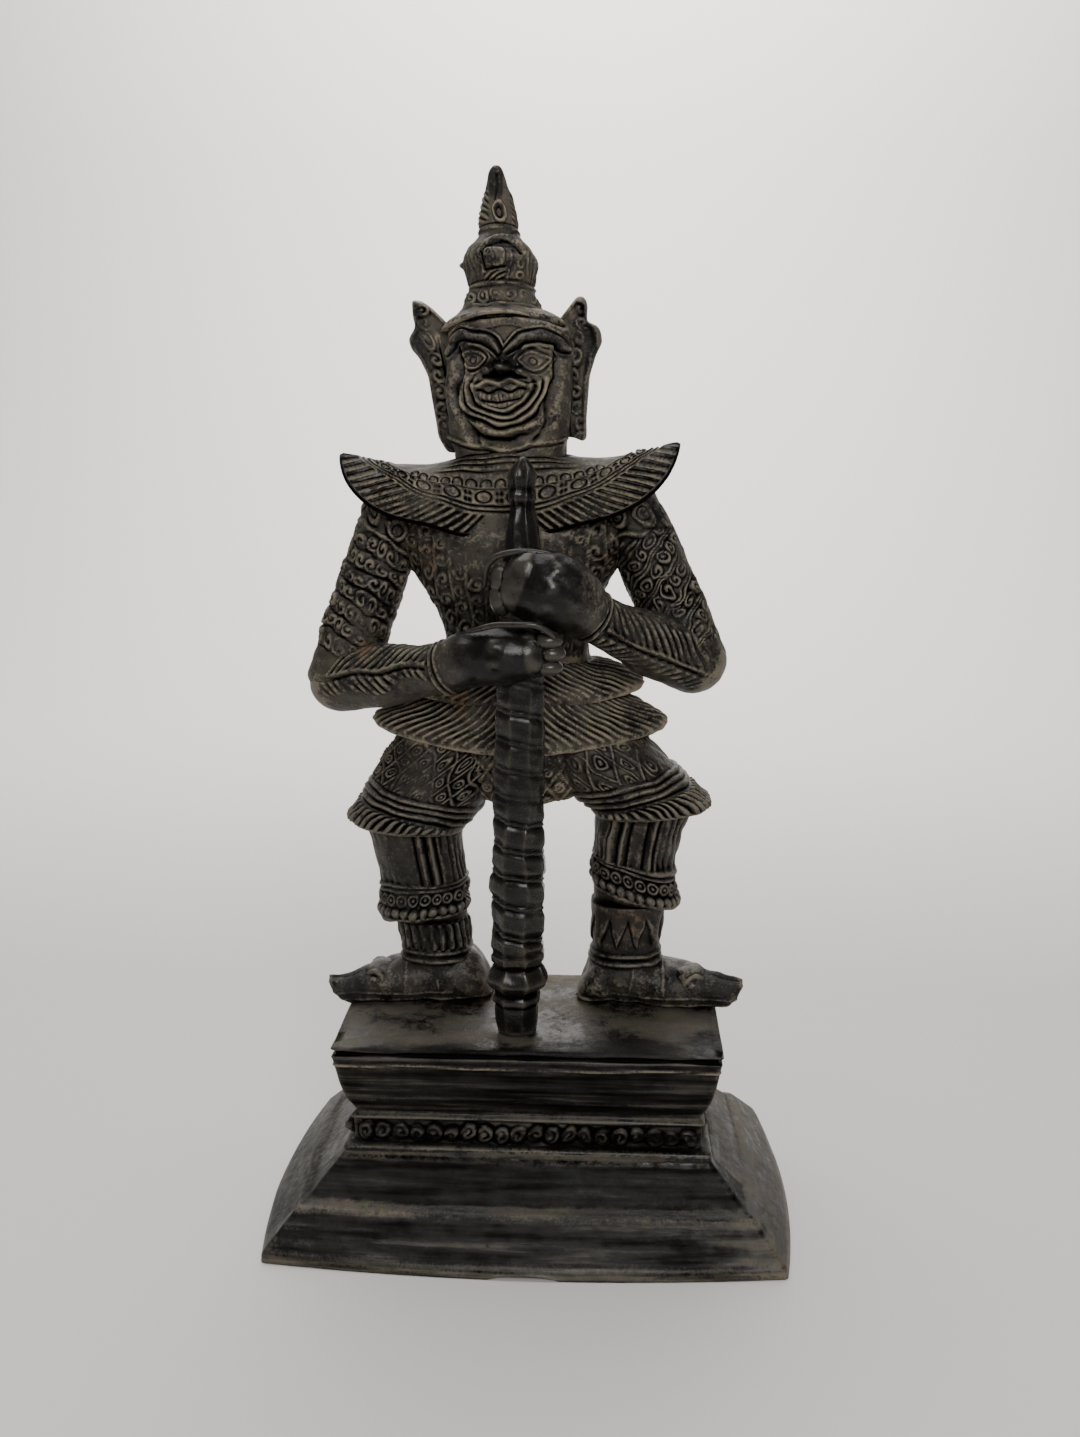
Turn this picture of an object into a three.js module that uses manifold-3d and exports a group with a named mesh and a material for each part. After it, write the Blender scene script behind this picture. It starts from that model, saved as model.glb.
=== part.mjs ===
// A cast statuette of a standing yaksha, a temple guardian who leans both hands on a club.
// The figure, its club and its stepped plinth are one casting, so the group holds one mesh.
// Millimetres, +Z up. The origin is the middle of the plinth's underside and the figure faces -Y.
// A side is -1 for the left as seen from the front and 1 for the right.
import * as THREE from "three";
import { ParametricGeometry } from "three/addons/geometries/ParametricGeometry.js";
import { mergeVertices } from "three/addons/utils/BufferGeometryUtils.js";
import Module from "manifold-3d";

const wasm = await Module();
wasm.setup();

// Driving dimensions
const HEIGHT = 270; // plinth's underside to the tip of the crown
const BASE_WIDTH = 132; // plinth along X at its underside
const BASE_DEPTH = 85; // plinth along Y at its underside
const PLINTH_TOP = 51; // height of the face that the feet stand on
const BODY_Y = 12; // the body stands behind the plinth's middle
const CLUB_Y = -12.5; // the club stands in front of it
const FEET_X = -1; // middle of the stance
const CROWN_X = -8.6; // the casting leans this far to the left by the crown's tip
const HEAD_TURN = (-7 * Math.PI) / 180; // the face looks a little to the left
const TAU = 2 * Math.PI;
const SIDES = [-1, 1];

// The figure's middle line at a height, because the casting leans.
const leanX = (z) => FEET_X + ((CROWN_X - FEET_X) * (z - PLINTH_TOP)) / (HEIGHT - PLINTH_TOP);

const V = (x, y, z) => new THREE.Vector3(x, y, z);

// Evenly spaced numbers from a to b.
const steps = (a, b, count) => Array.from({ length: count }, (_, i) => a + ((b - a) * i) / (count - 1));

// Reads a table of rows [position, value, value, ...] at any position, smoothly and without overshoot.
function reader(rows) {
  const last = rows.length - 1;
  const slope = (i, k) => (rows[i + 1][k] - rows[i][k]) / (rows[i + 1][0] - rows[i][0]);
  const tangent = (i, k) => {
    if (i === 0) return slope(0, k);
    if (i === last) return slope(last - 1, k);
    const before = slope(i - 1, k);
    const after = slope(i, k);
    return before * after <= 0 ? 0 : (2 * before * after) / (before + after);
  };
  return (at) => {
    const s = Math.min(Math.max(at, rows[0][0]), rows[last][0]);
    let i = 0;
    while (i < last - 1 && s > rows[i + 1][0]) i++;
    const h = rows[i + 1][0] - rows[i][0];
    const t = (s - rows[i][0]) / h;
    return rows[i].slice(1).map(
      (value, j) =>
        value * (2 * t ** 3 - 3 * t ** 2 + 1) +
        rows[i + 1][j + 1] * (3 * t ** 2 - 2 * t ** 3) +
        h * tangent(i, j + 1) * (t ** 3 - 2 * t ** 2 + t) +
        h * tangent(i + 1, j + 1) * (t ** 3 - t ** 2),
    );
  };
}

// A manifold solid from vertex numbers and triangles, turned outwards where it came inside out.
function manifoldOf(vertProperties, triVerts) {
  const make = (triangles) =>
    new wasm.Manifold(new wasm.Mesh({ numProp: 3, vertProperties, triVerts: triangles }));
  const solid = make(triVerts);
  if (solid.volume() >= 0) return solid;
  const turned = Uint32Array.from(triVerts);
  for (let i = 0; i < turned.length; i += 3) {
    [turned[i + 1], turned[i + 2]] = [turned[i + 2], turned[i + 1]];
  }
  return make(turned);
}

// A three.js geometry as a closed solid: shared points merged, and the flat triangles at poles left out.
function solidOf(geometry) {
  const bare = geometry.clone();
  bare.deleteAttribute("normal");
  bare.deleteAttribute("uv");
  const merged = mergeVertices(bare, 1e-4);
  const index = merged.index.array;
  const triVerts = [];
  for (let i = 0; i < index.length; i += 3) {
    const [a, b, c] = [index[i], index[i + 1], index[i + 2]];
    if (a !== b && b !== c && c !== a) triVerts.push(a, b, c);
  }
  return manifoldOf(merged.attributes.position.array, new Uint32Array(triVerts));
}

// A closed skin of rows of points. place(u, row) is the point a share u of the way round a row, and the skin
// closes on the points first and last.
function closedSkin(columns, rows, place, first, last) {
  const surface = (u, v, target) => {
    const row = Math.round(v * (rows + 1));
    if (row === 0) target.copy(first);
    else if (row > rows) target.copy(last);
    else target.copy(place(u === 1 ? 0 : u, row - 1));
  };
  return solidOf(new ParametricGeometry(surface, columns, rows + 1));
}

// A closed skin over rings {c, a, b, n}: a middle, two half axes as vectors and the power of a superellipse.
// relief(angle, i) adds to the radius.
function skin(rings, columns, relief = () => 0) {
  const place = (u, i) => {
    const { c, a, b, n = 2 } = rings[i];
    const angle = u * TAU;
    const power = (value) => Math.sign(value) * Math.abs(value) ** (2 / n);
    const arm = V(0, 0, 0)
      .addScaledVector(a, power(Math.cos(angle)))
      .addScaledVector(b, power(Math.sin(angle)));
    arm.setLength(arm.length() + relief(angle, i));
    return arm.add(c);
  };
  return closedSkin(columns, rings.length, place, rings[0].c, rings.at(-1).c);
}

// Level rings at the given heights, read from rows of
// [z, middle x, middle y, half width, half depth, power].
function levels(rows, heights) {
  const read = reader(rows);
  return heights.map((z) => {
    const [x, y, halfWidth, halfDepth, n] = read(z);
    return { c: V(x, y, z), a: V(halfWidth, 0, 0), b: V(0, halfDepth, 0), n };
  });
}

// A bar along a smooth path, with round ends. rows are [share of the path, half height, half thickness], and
// the thickness points along `out`.
function bar(points, rows, out, count, columns, relief) {
  const path = new THREE.CatmullRomCurve3(points);
  const read = reader(rows);
  const ring = (share, push, scale) => {
    const along = path.getTangentAt(share);
    const b = out.clone().addScaledVector(along, -out.dot(along)).normalize();
    const a = b.clone().cross(along);
    const [height, thickness] = read(share);
    return {
      c: path.getPointAt(share).addScaledVector(along, push * thickness),
      a: a.multiplyScalar(height * scale),
      b: b.multiplyScalar(thickness * scale),
    };
  };
  const length = steps(0, 1, count).map((share) => ring(share, 0, 1));
  return skin([ring(0, -0.6, 0.7), ...length, ring(1, 0.6, 0.7)], columns, relief);
}

// A ball stretched along the three axes.
function ball(at, rx, ry, rz, around = 8, down = 4) {
  return solidOf(new THREE.SphereGeometry(1, around, down).scale(rx, ry, rz).translate(at.x, at.y, at.z));
}

const unionOf = (solids) => wasm.Manifold.union(solids);

// Plinth: a sloped foot in two steps whose sides bow out a little, then a recessed row of pearls under a cap
// that flares to the top face.
const PEARL_RADIUS = 2.2;
const PEARL_Z = 26.3;
const PEARLS_FRONT = 19;
const PEARLS_SIDE = 7;
const PEARL_INSET = 20.6; // the wall behind the pearls, in from the edge of the underside
const CORNER_CUT = 1.2;
const FOOT_BOW = 4;

// Rows of [height, inset from the edge of the underside].
const FOOT_PROFILE = [
  [0, 0],
  [2.4, 0.3],
  [11.3, 8.2],
  [11.9, 9.9],
  [20.6, 18.2],
  [22.8, 18.2],
];
const CAP_PROFILE = [
  [20, PEARL_INSET],
  [29.2, PEARL_INSET],
  [29.9, 19.6],
  [31.2, 21.4],
  [36, 18.8],
  [41, 17.3],
  [48.6, 15.9],
  [49.3, 16.8],
  [49.9, 15.7],
  [PLINTH_TOP, 15.9],
];

// A stack of rectangles with cut corners. Each side has `mids` points between its corners, which bow out.
function steppedBlock(profile, mids) {
  const perSide = mids + 2;
  const place = (u, row) => {
    const [z, inset] = profile[row];
    const half = [BASE_WIDTH / 2 - inset, BASE_DEPTH / 2 - inset];
    const point = Math.round(u * 4 * perSide) % (4 * perSide);
    const turn = Math.floor(point / perSide); // 0 front, 1 right, 2 back, 3 left
    const share = (2 * (point % perSide)) / (perSide - 1) - 1;
    const bow = mids ? FOOT_BOW * Math.max(0, 1 - z / 24) ** 1.5 * (1 - share * share) : 0;
    const along = share * (half[turn % 2] - CORNER_CUT);
    const outward = half[(turn + 1) % 2] + bow;
    return V(along, -outward, z).applyAxisAngle(V(0, 0, 1), (turn * Math.PI) / 2);
  };
  return closedSkin(4 * perSide, profile.length, place, V(0, 0, profile[0][0]), V(0, 0, profile.at(-1)[0]));
}

function plinth() {
  const [wallX, wallY] = [BASE_WIDTH / 2 - PEARL_INSET, BASE_DEPTH / 2 - PEARL_INSET];
  const pearl = (x, y) => ball(V(x, y, PEARL_Z), PEARL_RADIUS, PEARL_RADIUS, PEARL_RADIUS + 0.5, 6, 2);
  const alongX = steps(-wallX + PEARL_RADIUS, wallX - PEARL_RADIUS, PEARLS_FRONT);
  const alongY = steps(-wallY + 2.6 * PEARL_RADIUS, wallY - 2.6 * PEARL_RADIUS, PEARLS_SIDE);
  return unionOf([
    steppedBlock(FOOT_PROFILE, 3),
    steppedBlock(CAP_PROFILE, 0),
    ...alongX.flatMap((x) => [pearl(x, -wallY), pearl(x, wallY)]),
    ...alongY.flatMap((y) => [pearl(-wallX, y), pearl(wallX, y)]),
  ]).subtract(castingNick());
}

// A shallow nick in the middle of the plinth's front lower edge.
function castingNick() {
  const nick = new THREE.CylinderGeometry(9, 7, 3, 6, 1).rotateX(Math.PI / 2).scale(1, 3, 0.13);
  return solidOf(nick.translate(0.5, -BASE_DEPTH / 2 - FOOT_BOW, 0));
}

// Legs. Each limb's numbers differ from side to side, because the casting is not quite even.
const LEGS = {
  "-1": {
    hem: V(-34.6, 11.4, 100.5),
    // Rows of [z, middle x, half width] up the lower leg.
    shin: [
      [58, -27, 10.6],
      [66, -27.2, 9.6],
      [72, -28.2, 9.5],
      [73.5, -30.8, 12],
      [81, -30.5, 11.5],
      [93, -32, 12.2],
      [104, -33.4, 14],
    ],
    heel: V(-14.4, 13, 51),
    toe: V(-57, 3.6, 56.6),
  },
  1: {
    hem: V(31.8, 11.4, 105.5),
    shin: [
      [58, 25.4, 10.4],
      [66, 25.4, 9.5],
      [75, 25.8, 9.4],
      [76.5, 28, 11.8],
      [84, 27.4, 10.9],
      [95, 28.2, 11.6],
      [108, 30.4, 13.6],
    ],
    heel: V(14.2, 13.4, 51),
    toe: V(57.4, 4.4, 57.4),
  },
};

const TOE_Z = 56.6; // middle of the toe's tip on a shoe whose rows are used as they stand
const BOW_SHARE = 0.68; // the bow's share of the way from heel to toe
const BOW_Z = 58.8;

// A shoe that points sideways, past the plinth's edge, with a turned-up toe and a bow on the instep.
function shoe(side) {
  const { heel, toe } = LEGS[side];
  // Rows of [share from heel to toe, sole z, top z, half width].
  const rows = [
    [0, 51, 56, 4.4],
    [0.05, 50, 59.5, 7.6],
    [0.2, 50, 63.5, 9.6],
    [0.42, 50, 63.3, 9.8],
    [0.58, 50, 60, 8.6],
    [0.7, 49.8, 58.8, 7],
    [0.85, 49.6, 57.4, 4.8],
    [1, 55.2, 57.6, 1],
  ];
  const read = reader(rows);
  const ring = (share) => {
    const [sole, top, halfWidth] = read(share);
    const y = heel.y + (toe.y - heel.y) * share ** 2.2;
    return {
      c: V(heel.x + (toe.x - heel.x) * share, y, (sole + top) / 2 + (toe.z - TOE_Z) * share ** 6),
      a: V(0, halfWidth, 0),
      b: V(0, 0, (top - sole) / 2),
      n: 2.4,
    };
  };
  const shares = [0, 0.05, 0.16, 0.3, 0.44, 0.56, BOW_SHARE, 0.8, 0.92, 1];
  const instep = ring(BOW_SHARE).c;
  return unionOf([skin(shares.map(ring), 8), ball(V(instep.x, instep.y + 1, BOW_Z), 3.6, 4.2, 2.6)]);
}

// The lower leg: a fluted legging, an anklet that slants down to a point outside, and an ankle cuff.
const FLUTES = 10;

function lowerLeg(side) {
  const { shin, hem } = LEGS[side];
  const cuffTop = shin[2][0];
  const anklet = shin[3][0];
  const readShin = reader(shin);
  const heights = [58, 62.8, 64, cuffTop, anklet, anklet + 4, anklet + 7.6, anklet + 8.6, hem.z];
  const rings = heights.map((z) => {
    const [x, halfWidth] = readShin(z);
    const slant = z >= anklet && z < anklet + 9 ? -side * 1.8 : 0;
    return { c: V(x, BODY_Y + 0.6, z), a: V(halfWidth, 0, slant), b: V(0, halfWidth * 0.93, 0), n: 2.2 };
  });
  const relief = (angle, i) => {
    if (heights[i] > anklet + 8) return 0.5 * Math.cos(FLUTES * angle) - 0.3;
    return i === 1 || i === 4 ? 0.5 : 0;
  };
  return skin(rings, 2 * FLUTES, relief);
}

// A thigh: a puffed trouser leg that flares down to a ruffled hem at the knee.
const RUFFLES = 10;

function thigh(side) {
  const { hem } = LEGS[side];
  const hip = V(leanX(124) + side * 17, BODY_Y, 126);
  // Rows of [share from hip to hem, sideways share, half width, half depth].
  const rows = [
    [0, 0, 15, 12],
    [0.3, 0.26, 17.4, 13.8],
    [0.6, 0.62, 16.8, 14.6],
    [0.8, 0.86, 15.8, 14.2],
    [0.88, 0.94, 16.2, 14.6],
    [1, 1, 15.8, 14.2],
  ];
  const read = reader(rows);
  const shares = [0, 0.3, 0.6, 0.78, 0.84, 0.92, 1];
  const rings = shares.map((share) => {
    const [sideways, halfWidth, halfDepth] = read(share);
    const c = V(hip.x + (hem.x - hip.x) * sideways, hem.y, hip.z + (hem.z - hip.z) * share);
    return { c, a: V(halfWidth, 0, side * 1.2 * share), b: V(0, halfDepth, 0), n: 2.2 };
  });
  const relief = (angle, i) => {
    if (shares[i] > 0.9) return 0.55 * Math.cos(RUFFLES * angle);
    return shares[i] === 0.84 ? -0.6 : 0;
  };
  return skin(rings, 2 * RUFFLES, relief);
}

// Trunk, from between the thighs to the shoulders. Rows of [z, half width, half depth].
const TRUNK = [
  [107, 8, 8],
  [113, 22, 11.5],
  [122, 31, 13.2],
  [132, 25, 12.6],
  [141, 20.4, 11.8],
  [152, 18.9, 11.2],
  [159, 20.8, 11.8],
  [167, 25, 12.8],
  [180, 32, 13],
  [188, 32, 11.4],
  [194, 26, 9],
];

function trunk() {
  const rows = TRUNK.map(([z, halfWidth, halfDepth]) => [z, leanX(z), BODY_Y, halfWidth, halfDepth, 2.3]);
  return skin(levels(rows, TRUNK.map(([z]) => z)), 12);
}

// A hip flap: a pleated skirt ring whose points stand out at the hips and whose front and back droop.
const HIP_FLAPS = [
  { topZ: 137, tipZ: 128.4, topWidth: 26, tipWidth: 39.4, depth: 17.4, droop: 5, pleats: 18 },
  { topZ: 146, tipZ: 139, topWidth: 19.4, tipWidth: 33.4, depth: 15.4, droop: 4, pleats: 13 },
];

function hipFlap({ topZ, tipZ, topWidth, tipWidth, depth, droop, pleats }) {
  const x = leanX(tipZ);
  // Rows of [z at the tips, half width, half depth, droop at the front, pleat height].
  const rows = [
    [tipZ - 1.2, tipWidth - 5, depth - 5, droop, 0],
    [tipZ - 0.8, tipWidth - 0.6, depth - 0.2, droop, 0.5],
    [tipZ + 0.6, tipWidth, depth, droop * 0.94, 0.5],
    [topZ, topWidth, depth - 2.6, 0, 0],
  ];
  const place = (u, i) => {
    const [z, halfWidth, halfDepth, hang, pleatHeight] = rows[i];
    const angle = u * TAU;
    const [cos, sin] = [Math.cos(angle), Math.sin(angle)];
    const pleat = pleatHeight * Math.cos(pleats * angle);
    const sideways = Math.sign(cos) * Math.abs(cos) ** 1.25 * (halfWidth + pleat);
    const forward = Math.sign(sin) * Math.abs(sin) ** 1.05 * (halfDepth + pleat);
    return V(x + sideways, BODY_Y + forward, z - hang * sin ** 2);
  };
  return closedSkin(2 * pleats, rows.length, place, V(x, BODY_Y, tipZ - 1), V(x, BODY_Y, topZ));
}

// The collar: a feathered cape that lies on the chest and back and rises to a point over each shoulder.
const COLLAR_SPAN = 44.2;
const COLLAR_TILT = 0.041; // the right shoulder is higher
const FEATHERS = 28;

function collar() {
  const x0 = leanX(200) - 0.2;
  // Rows of [share from neck to rim, reach, feathers]: the inner bands, the ridge and the feathered band.
  const rows = [
    { share: 0, reach: 0.3 },
    { share: 0.62, reach: 0.76 },
    { share: 0.68, reach: 0.79 },
    { share: 0.97, reach: 0.985, feather: 0.55 },
    { share: 1, reach: 1 },
  ];
  const place = (u, i) => {
    const { share, reach, feather = 0 } = rows[i];
    const angle = u * TAU;
    const [cos, sin] = [Math.cos(angle), Math.sin(angle)];
    const out = Math.abs(cos) ** 1.15; // share of the way to the shoulder point
    const rimZ = 180 + 14 * out ** 2.6 + 5.5 * out ** 14;
    const across = out * reach;
    const topZ = 203.6 - 8 * Math.min(1, across * 1.7) ** 0.8 + 4.2 * across ** 8;
    const z = topZ + (rimZ - topZ) * share ** 1.15;
    const round = 12.6 + (COLLAR_SPAN - 12.6) * ((reach - 0.3) / 0.7);
    const plume = feather * Math.cos(FEATHERS * angle);
    const x = Math.sign(cos) * (12.6 * Math.abs(cos) ** (1 - share) + (round - 12.6) * out);
    const depth = 10 + 6.4 * share ** 0.7 + plume;
    const y = BODY_Y + Math.sign(sin) * Math.abs(sin) ** 0.85 * depth;
    return V(x0 + x, y, z + COLLAR_TILT * x);
  };
  return closedSkin(2 * FEATHERS, rows.length, place, V(x0, BODY_Y, 203.6), V(x0, BODY_Y, 178));
}

// Arms. The left hand is the lower one on the club.
const ARMS = {
  "-1": {
    shoulder: V(-37, 12, 186),
    elbow: V(-52, 10, 140.2),
    wrist: V(-22.5, -7.5, 146),
    hand: [V(-10, -15.6, 150.8), V(2, -17, 151.8)],
    handRows: [[0, 6.2, 5.6], [0.5, 7, 6.4], [1, 7.6, 6]],
    fingerX: 5.2,
    fingerZ: steps(146.6, 156.6, 4),
  },
  1: {
    shoulder: V(24, 12, 187),
    elbow: V(42, 10, 146.6),
    wrist: V(16, -8.5, 159.6),
    hand: [V(8.5, -15.5, 165.4), V(-2.6, -17, 168.2)],
    handRows: [[0, 6.2, 5.8], [0.5, 8.2, 7.2], [1, 8.6, 5.6]],
    fingerX: -6.4,
    fingerZ: steps(161.6, 172.8, 4),
  },
};

function arm(side) {
  const { shoulder, elbow, wrist } = ARMS[side];
  const upper = [[0, 9, 10.2], [0.35, 9.6, 10], [0.7, 9, 9.2], [1, 8.6, 8.8]];
  const fore = [[0, 8.8, 8.6], [0.35, 8.6, 7.8], [0.85, 6.2, 6], [1, 6.2, 5.8]];
  const bracelet = (angle, i) => (i === 3 ? 0.5 : 0);
  return unionOf([
    bar([shoulder, elbow], upper, V(0, 1, 0), 4, 8),
    bar([elbow, wrist], fore, V(0.3, 1, 0), 4, 8, bracelet),
  ]);
}

const FINGER_Y = CLUB_Y - 2.4;

// A fist round the club: the back of the hand from the wrist over the knuckles, and four finger ends.
function fist(side) {
  const { wrist, hand, handRows, fingerX, fingerZ } = ARMS[side];
  return unionOf([
    bar([wrist, ...hand], handRows, V(0.2, 1, 0), 5, 10),
    ...fingerZ.map((z) => ball(V(fingerX, FINGER_Y, z), 2.6, 5, 1.9, 6, 4)),
  ]);
}

// The club: a budded top, a tapered neck, a ribbed shaft of short drums and a turned foot.
// It leans a little to the right.
const CLUB_FOOT_X = -3.6;
const CLUB_TIP = { x: -1.2, z: 199.4 };
const clubX = (z) =>
  CLUB_FOOT_X + ((CLUB_TIP.x - CLUB_FOOT_X) * (z - PLINTH_TOP)) / (CLUB_TIP.z - PLINTH_TOP);
const DRUMS = 9;
const SHAFT = { foot: 73.6, top: 143, footRadius: 6.6, topRadius: 5.6 };

function club() {
  const drum = (SHAFT.top - SHAFT.foot) / DRUMS;
  const radius = (z) =>
    SHAFT.footRadius + ((SHAFT.topRadius - SHAFT.footRadius) * (z - SHAFT.foot)) / (SHAFT.top - SHAFT.foot);
  const drums = Array.from({ length: DRUMS }, (_, i) => SHAFT.foot + i * drum).flatMap((z) => [
    [z, radius(z) - 0.8],
    [z + drum * 0.5, radius(z) + 0.1],
  ]);
  const profile = [
    [50, 3.4],
    [53, 4.9],
    [57.4, 5.2],
    [60, 5.9],
    [65, 7.2],
    [68.8, 6.1],
    [70.6, 7],
    [72.6, 6.9],
    ...drums,
    [SHAFT.top, 5],
    [172, 5],
    [182, 4.2],
    [188.6, 3.2],
    [190.6, 3.7],
    [194.5, 3.3],
    [197.4, 1.9],
    [CLUB_TIP.z, 0.6],
  ];
  const rings = profile.map(([z, r]) => ({
    c: V(clubX(z), CLUB_Y, z),
    a: V(r, 0, z > SHAFT.foot && z < SHAFT.top ? -1 : 0),
    b: V(0, r, 0),
  }));
  return skin(rings, 8);
}

// Head. Rows of [z, half width, half depth] of the rounded block that carries the mask.
const HEAD_Y = 10;
const HEAD_MIDDLE = -5.8;
const HEAD = [
  [196, 14, 11],
  [202, 14.4, 12],
  [207, 15.2, 13],
  [214, 16, 13.6],
  [222, 16, 13.6],
  [229, 15.4, 13],
  [233, 13, 11],
];
const HEAD_POWER = 2.5;
const readHead = reader(HEAD);

// A place on the mask: x to the right of its middle line, height z and how far it stands out.
function onFace(x, z, out = 0) {
  const [halfWidth, halfDepth] = readHead(z);
  const share = Math.min(0.98, Math.abs(x) / halfWidth);
  const y = -halfDepth * (1 - share ** HEAD_POWER) ** (1 / HEAD_POWER) - out;
  return V(x, y, 0).applyAxisAngle(V(0, 0, 1), HEAD_TURN).add(V(HEAD_MIDDLE, HEAD_Y, z));
}

function head() {
  const rows = HEAD.map(([z, ...halves]) => [z, HEAD_MIDDLE, HEAD_Y, ...halves, HEAD_POWER]);
  const out = V(0, -1, 0).applyAxisAngle(V(0, 0, 1), HEAD_TURN);
  // A raised line on the mask, thinner at its ends.
  const ridge = (points, halfHeight, halfThickness, count) => {
    const end = [halfHeight * 0.5, halfThickness * 0.7];
    const places = points.map(([x, z]) => onFace(x, z));
    return bar(places, [[0, ...end], [0.5, halfHeight, halfThickness], [1, ...end]], out, count, 4);
  };
  const mirrored = (points, side) => points.map(([x, z]) => [side * x, z]);
  const both = (points) => [...mirrored(points, -1), ...points.toReversed().slice(1)];
  const brow = [[0.8, 225.2], [4.6, 229], [9, 230.2], [13.2, 226.6]];
  const lid = [[3.6, 223.4], [8, 226], [12.2, 223]];
  const teeth = steps(-5, 5, 6).map((x) => {
    const at = onFace(x, 212 + 0.05 * x * x, 0.2);
    return solidOf(new THREE.BoxGeometry(1.5, 2.4, 2.2).translate(at.x, at.y, at.z));
  });
  return unionOf([
    skin(levels(rows, [196, 205, 215, 226, 233]), 12),
    ...SIDES.flatMap((side) => [
      ridge(mirrored(brow, side), 1.5, 1.8, 4),
      ridge(mirrored(lid, side), 0.8, 1.2, 3),
      ball(onFace(side * 8, 222.8), 3.8, 2, 2.2, 6, 4),
      ball(onFace(side * 3.6, 219.6, 0.6), 2.2, 2.2, 1.8, 6, 3),
    ]),
    ball(onFace(0, 221.4, 1), 2.8, 3.2, 3.4, 6, 4),
    ridge(both([[8.8, 217.6], [4.6, 214.8], [0, 214.2]]), 0.9, 1.6, 5),
    ridge(both([[10, 217], [7.6, 211], [3.8, 208.8], [0, 208.2]]), 1.1, 1.8, 7),
    ridge(both([[13.4, 218], [12, 211], [7, 205.6], [0, 204]]), 1.6, 2, 9),
    ...teeth,
  ]);
}

// The flame-shaped plate that stands behind each ear, with two points at its top.
const EAR_OUTLINE = [
  [13, 199.5],
  [17.6, 203],
  [18.8, 208],
  [19.6, 215],
  [21, 221],
  [24.4, 228.8],
  [23.4, 231],
  [22.6, 237.4],
  [19.6, 235.6],
  [15, 231],
  [11, 226],
  [11, 204],
];

// The plates' middle line leans a little more than the body does.
const earX = (z) => leanX(z) + 0.9 - (z - 205) / 16;

function earPlate(side) {
  const shape = new THREE.Shape(EAR_OUTLINE.map(([out, z]) => new THREE.Vector2(earX(z) + side * out, z)));
  const plate = new THREE.ExtrudeGeometry(shape, {
    depth: 3,
    bevelThickness: 0.8,
    bevelSize: 0.6,
    bevelOffset: -0.6,
    bevelSegments: 1,
  });
  return solidOf(plate.rotateX(Math.PI / 2).translate(0, 12, 0));
}

// The crown: a banded cap, a waisted tier of upright leaves with a niche, and a spire.
const LEAVES = 6;
const CROWN_Y = 11;
const NICHE_Z = 246;

function crown() {
  const profile = [
    [229, 15.6],
    [231.6, 14.8],
    [232.4, 12.6],
    [234.4, 10.8],
    [237.6, 9.6],
    [238.6, 8.6],
    [242, 8.7],
    [246.4, 9.2],
    [249.6, 8],
    [251.4, 6],
    [254, 5.6],
    [255, 4.8],
    [260, 4.2],
    [264.5, 3],
    [268.4, 1.4],
    [HEIGHT, 0.5],
  ];
  const rings = profile.map(([z, radius]) => ({
    c: V(leanX(z) - 0.6, CROWN_Y, z),
    a: V(radius, 0, 0),
    b: V(0, radius * 0.92, 0),
  }));
  const leafy = (i) => profile[i][0] > 238 && profile[i][0] < 250;
  const relief = (angle, i) => (leafy(i) ? 0.4 * Math.cos(LEAVES * angle) : 0);
  const niche = new THREE.CylinderGeometry(3.4, 2.8, 3, 5).rotateX(Math.PI / 2);
  niche.translate(leanX(NICHE_Z) - 1.8, CROWN_Y - 8, NICHE_Z);
  return unionOf([skin(rings, 2 * LEAVES, relief), solidOf(niche)]);
}

const bronze = new THREE.MeshStandardMaterial({
  name: "dark patinated bronze",
  color: 0x2b2722,
  roughness: 0.55,
  metalness: 0.6,
});

// The joined casting as one geometry.
function casting() {
  const solid = unionOf([
    plinth(),
    ...SIDES.flatMap((side) => [shoe(side), lowerLeg(side), thigh(side)]),
    ...SIDES.flatMap((side) => [arm(side), fist(side), earPlate(side)]),
    trunk(),
    ...HIP_FLAPS.map(hipFlap),
    collar(),
    club(),
    head(),
    crown(),
  ]);
  const mesh = solid.getMesh();
  const geometry = new THREE.BufferGeometry();
  geometry.setAttribute("position", new THREE.BufferAttribute(Float32Array.from(mesh.vertProperties), 3));
  geometry.setIndex(new THREE.BufferAttribute(Uint32Array.from(mesh.triVerts), 1));
  geometry.computeVertexNormals();
  return geometry;
}

const group = new THREE.Group();
const statuette = new THREE.Mesh(casting(), bronze);
statuette.name = "yaksha_with_plinth";
group.add(statuette);

export default group;
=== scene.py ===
# %% [markdown]
# # A patinated bronze guardian
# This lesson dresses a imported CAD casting: a temple guardian who leans on a club, on a stepped
# plinth. The CAD solid has the true outline. Here the same named sizes make finer surfaces with
# the carving on them, and a material that is dark where a thumb never reaches.

import bpy
import numpy as np
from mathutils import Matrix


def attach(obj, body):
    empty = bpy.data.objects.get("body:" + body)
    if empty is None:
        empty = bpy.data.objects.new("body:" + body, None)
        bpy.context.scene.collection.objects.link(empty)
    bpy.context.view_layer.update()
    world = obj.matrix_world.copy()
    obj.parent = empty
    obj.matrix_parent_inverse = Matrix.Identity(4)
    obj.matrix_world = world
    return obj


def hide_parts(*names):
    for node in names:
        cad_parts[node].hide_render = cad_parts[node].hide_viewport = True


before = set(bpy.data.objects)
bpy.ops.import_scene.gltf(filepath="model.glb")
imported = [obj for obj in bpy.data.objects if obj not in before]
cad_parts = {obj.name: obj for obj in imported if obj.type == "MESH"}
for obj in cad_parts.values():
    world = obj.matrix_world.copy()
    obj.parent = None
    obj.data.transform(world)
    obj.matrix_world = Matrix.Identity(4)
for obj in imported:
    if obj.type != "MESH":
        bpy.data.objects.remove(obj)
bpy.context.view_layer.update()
CASTING = "yaksha_with_plinth"
MM = 0.001  # sizes below are in millimetres, Blender's are in metres
PI = np.pi
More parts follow.
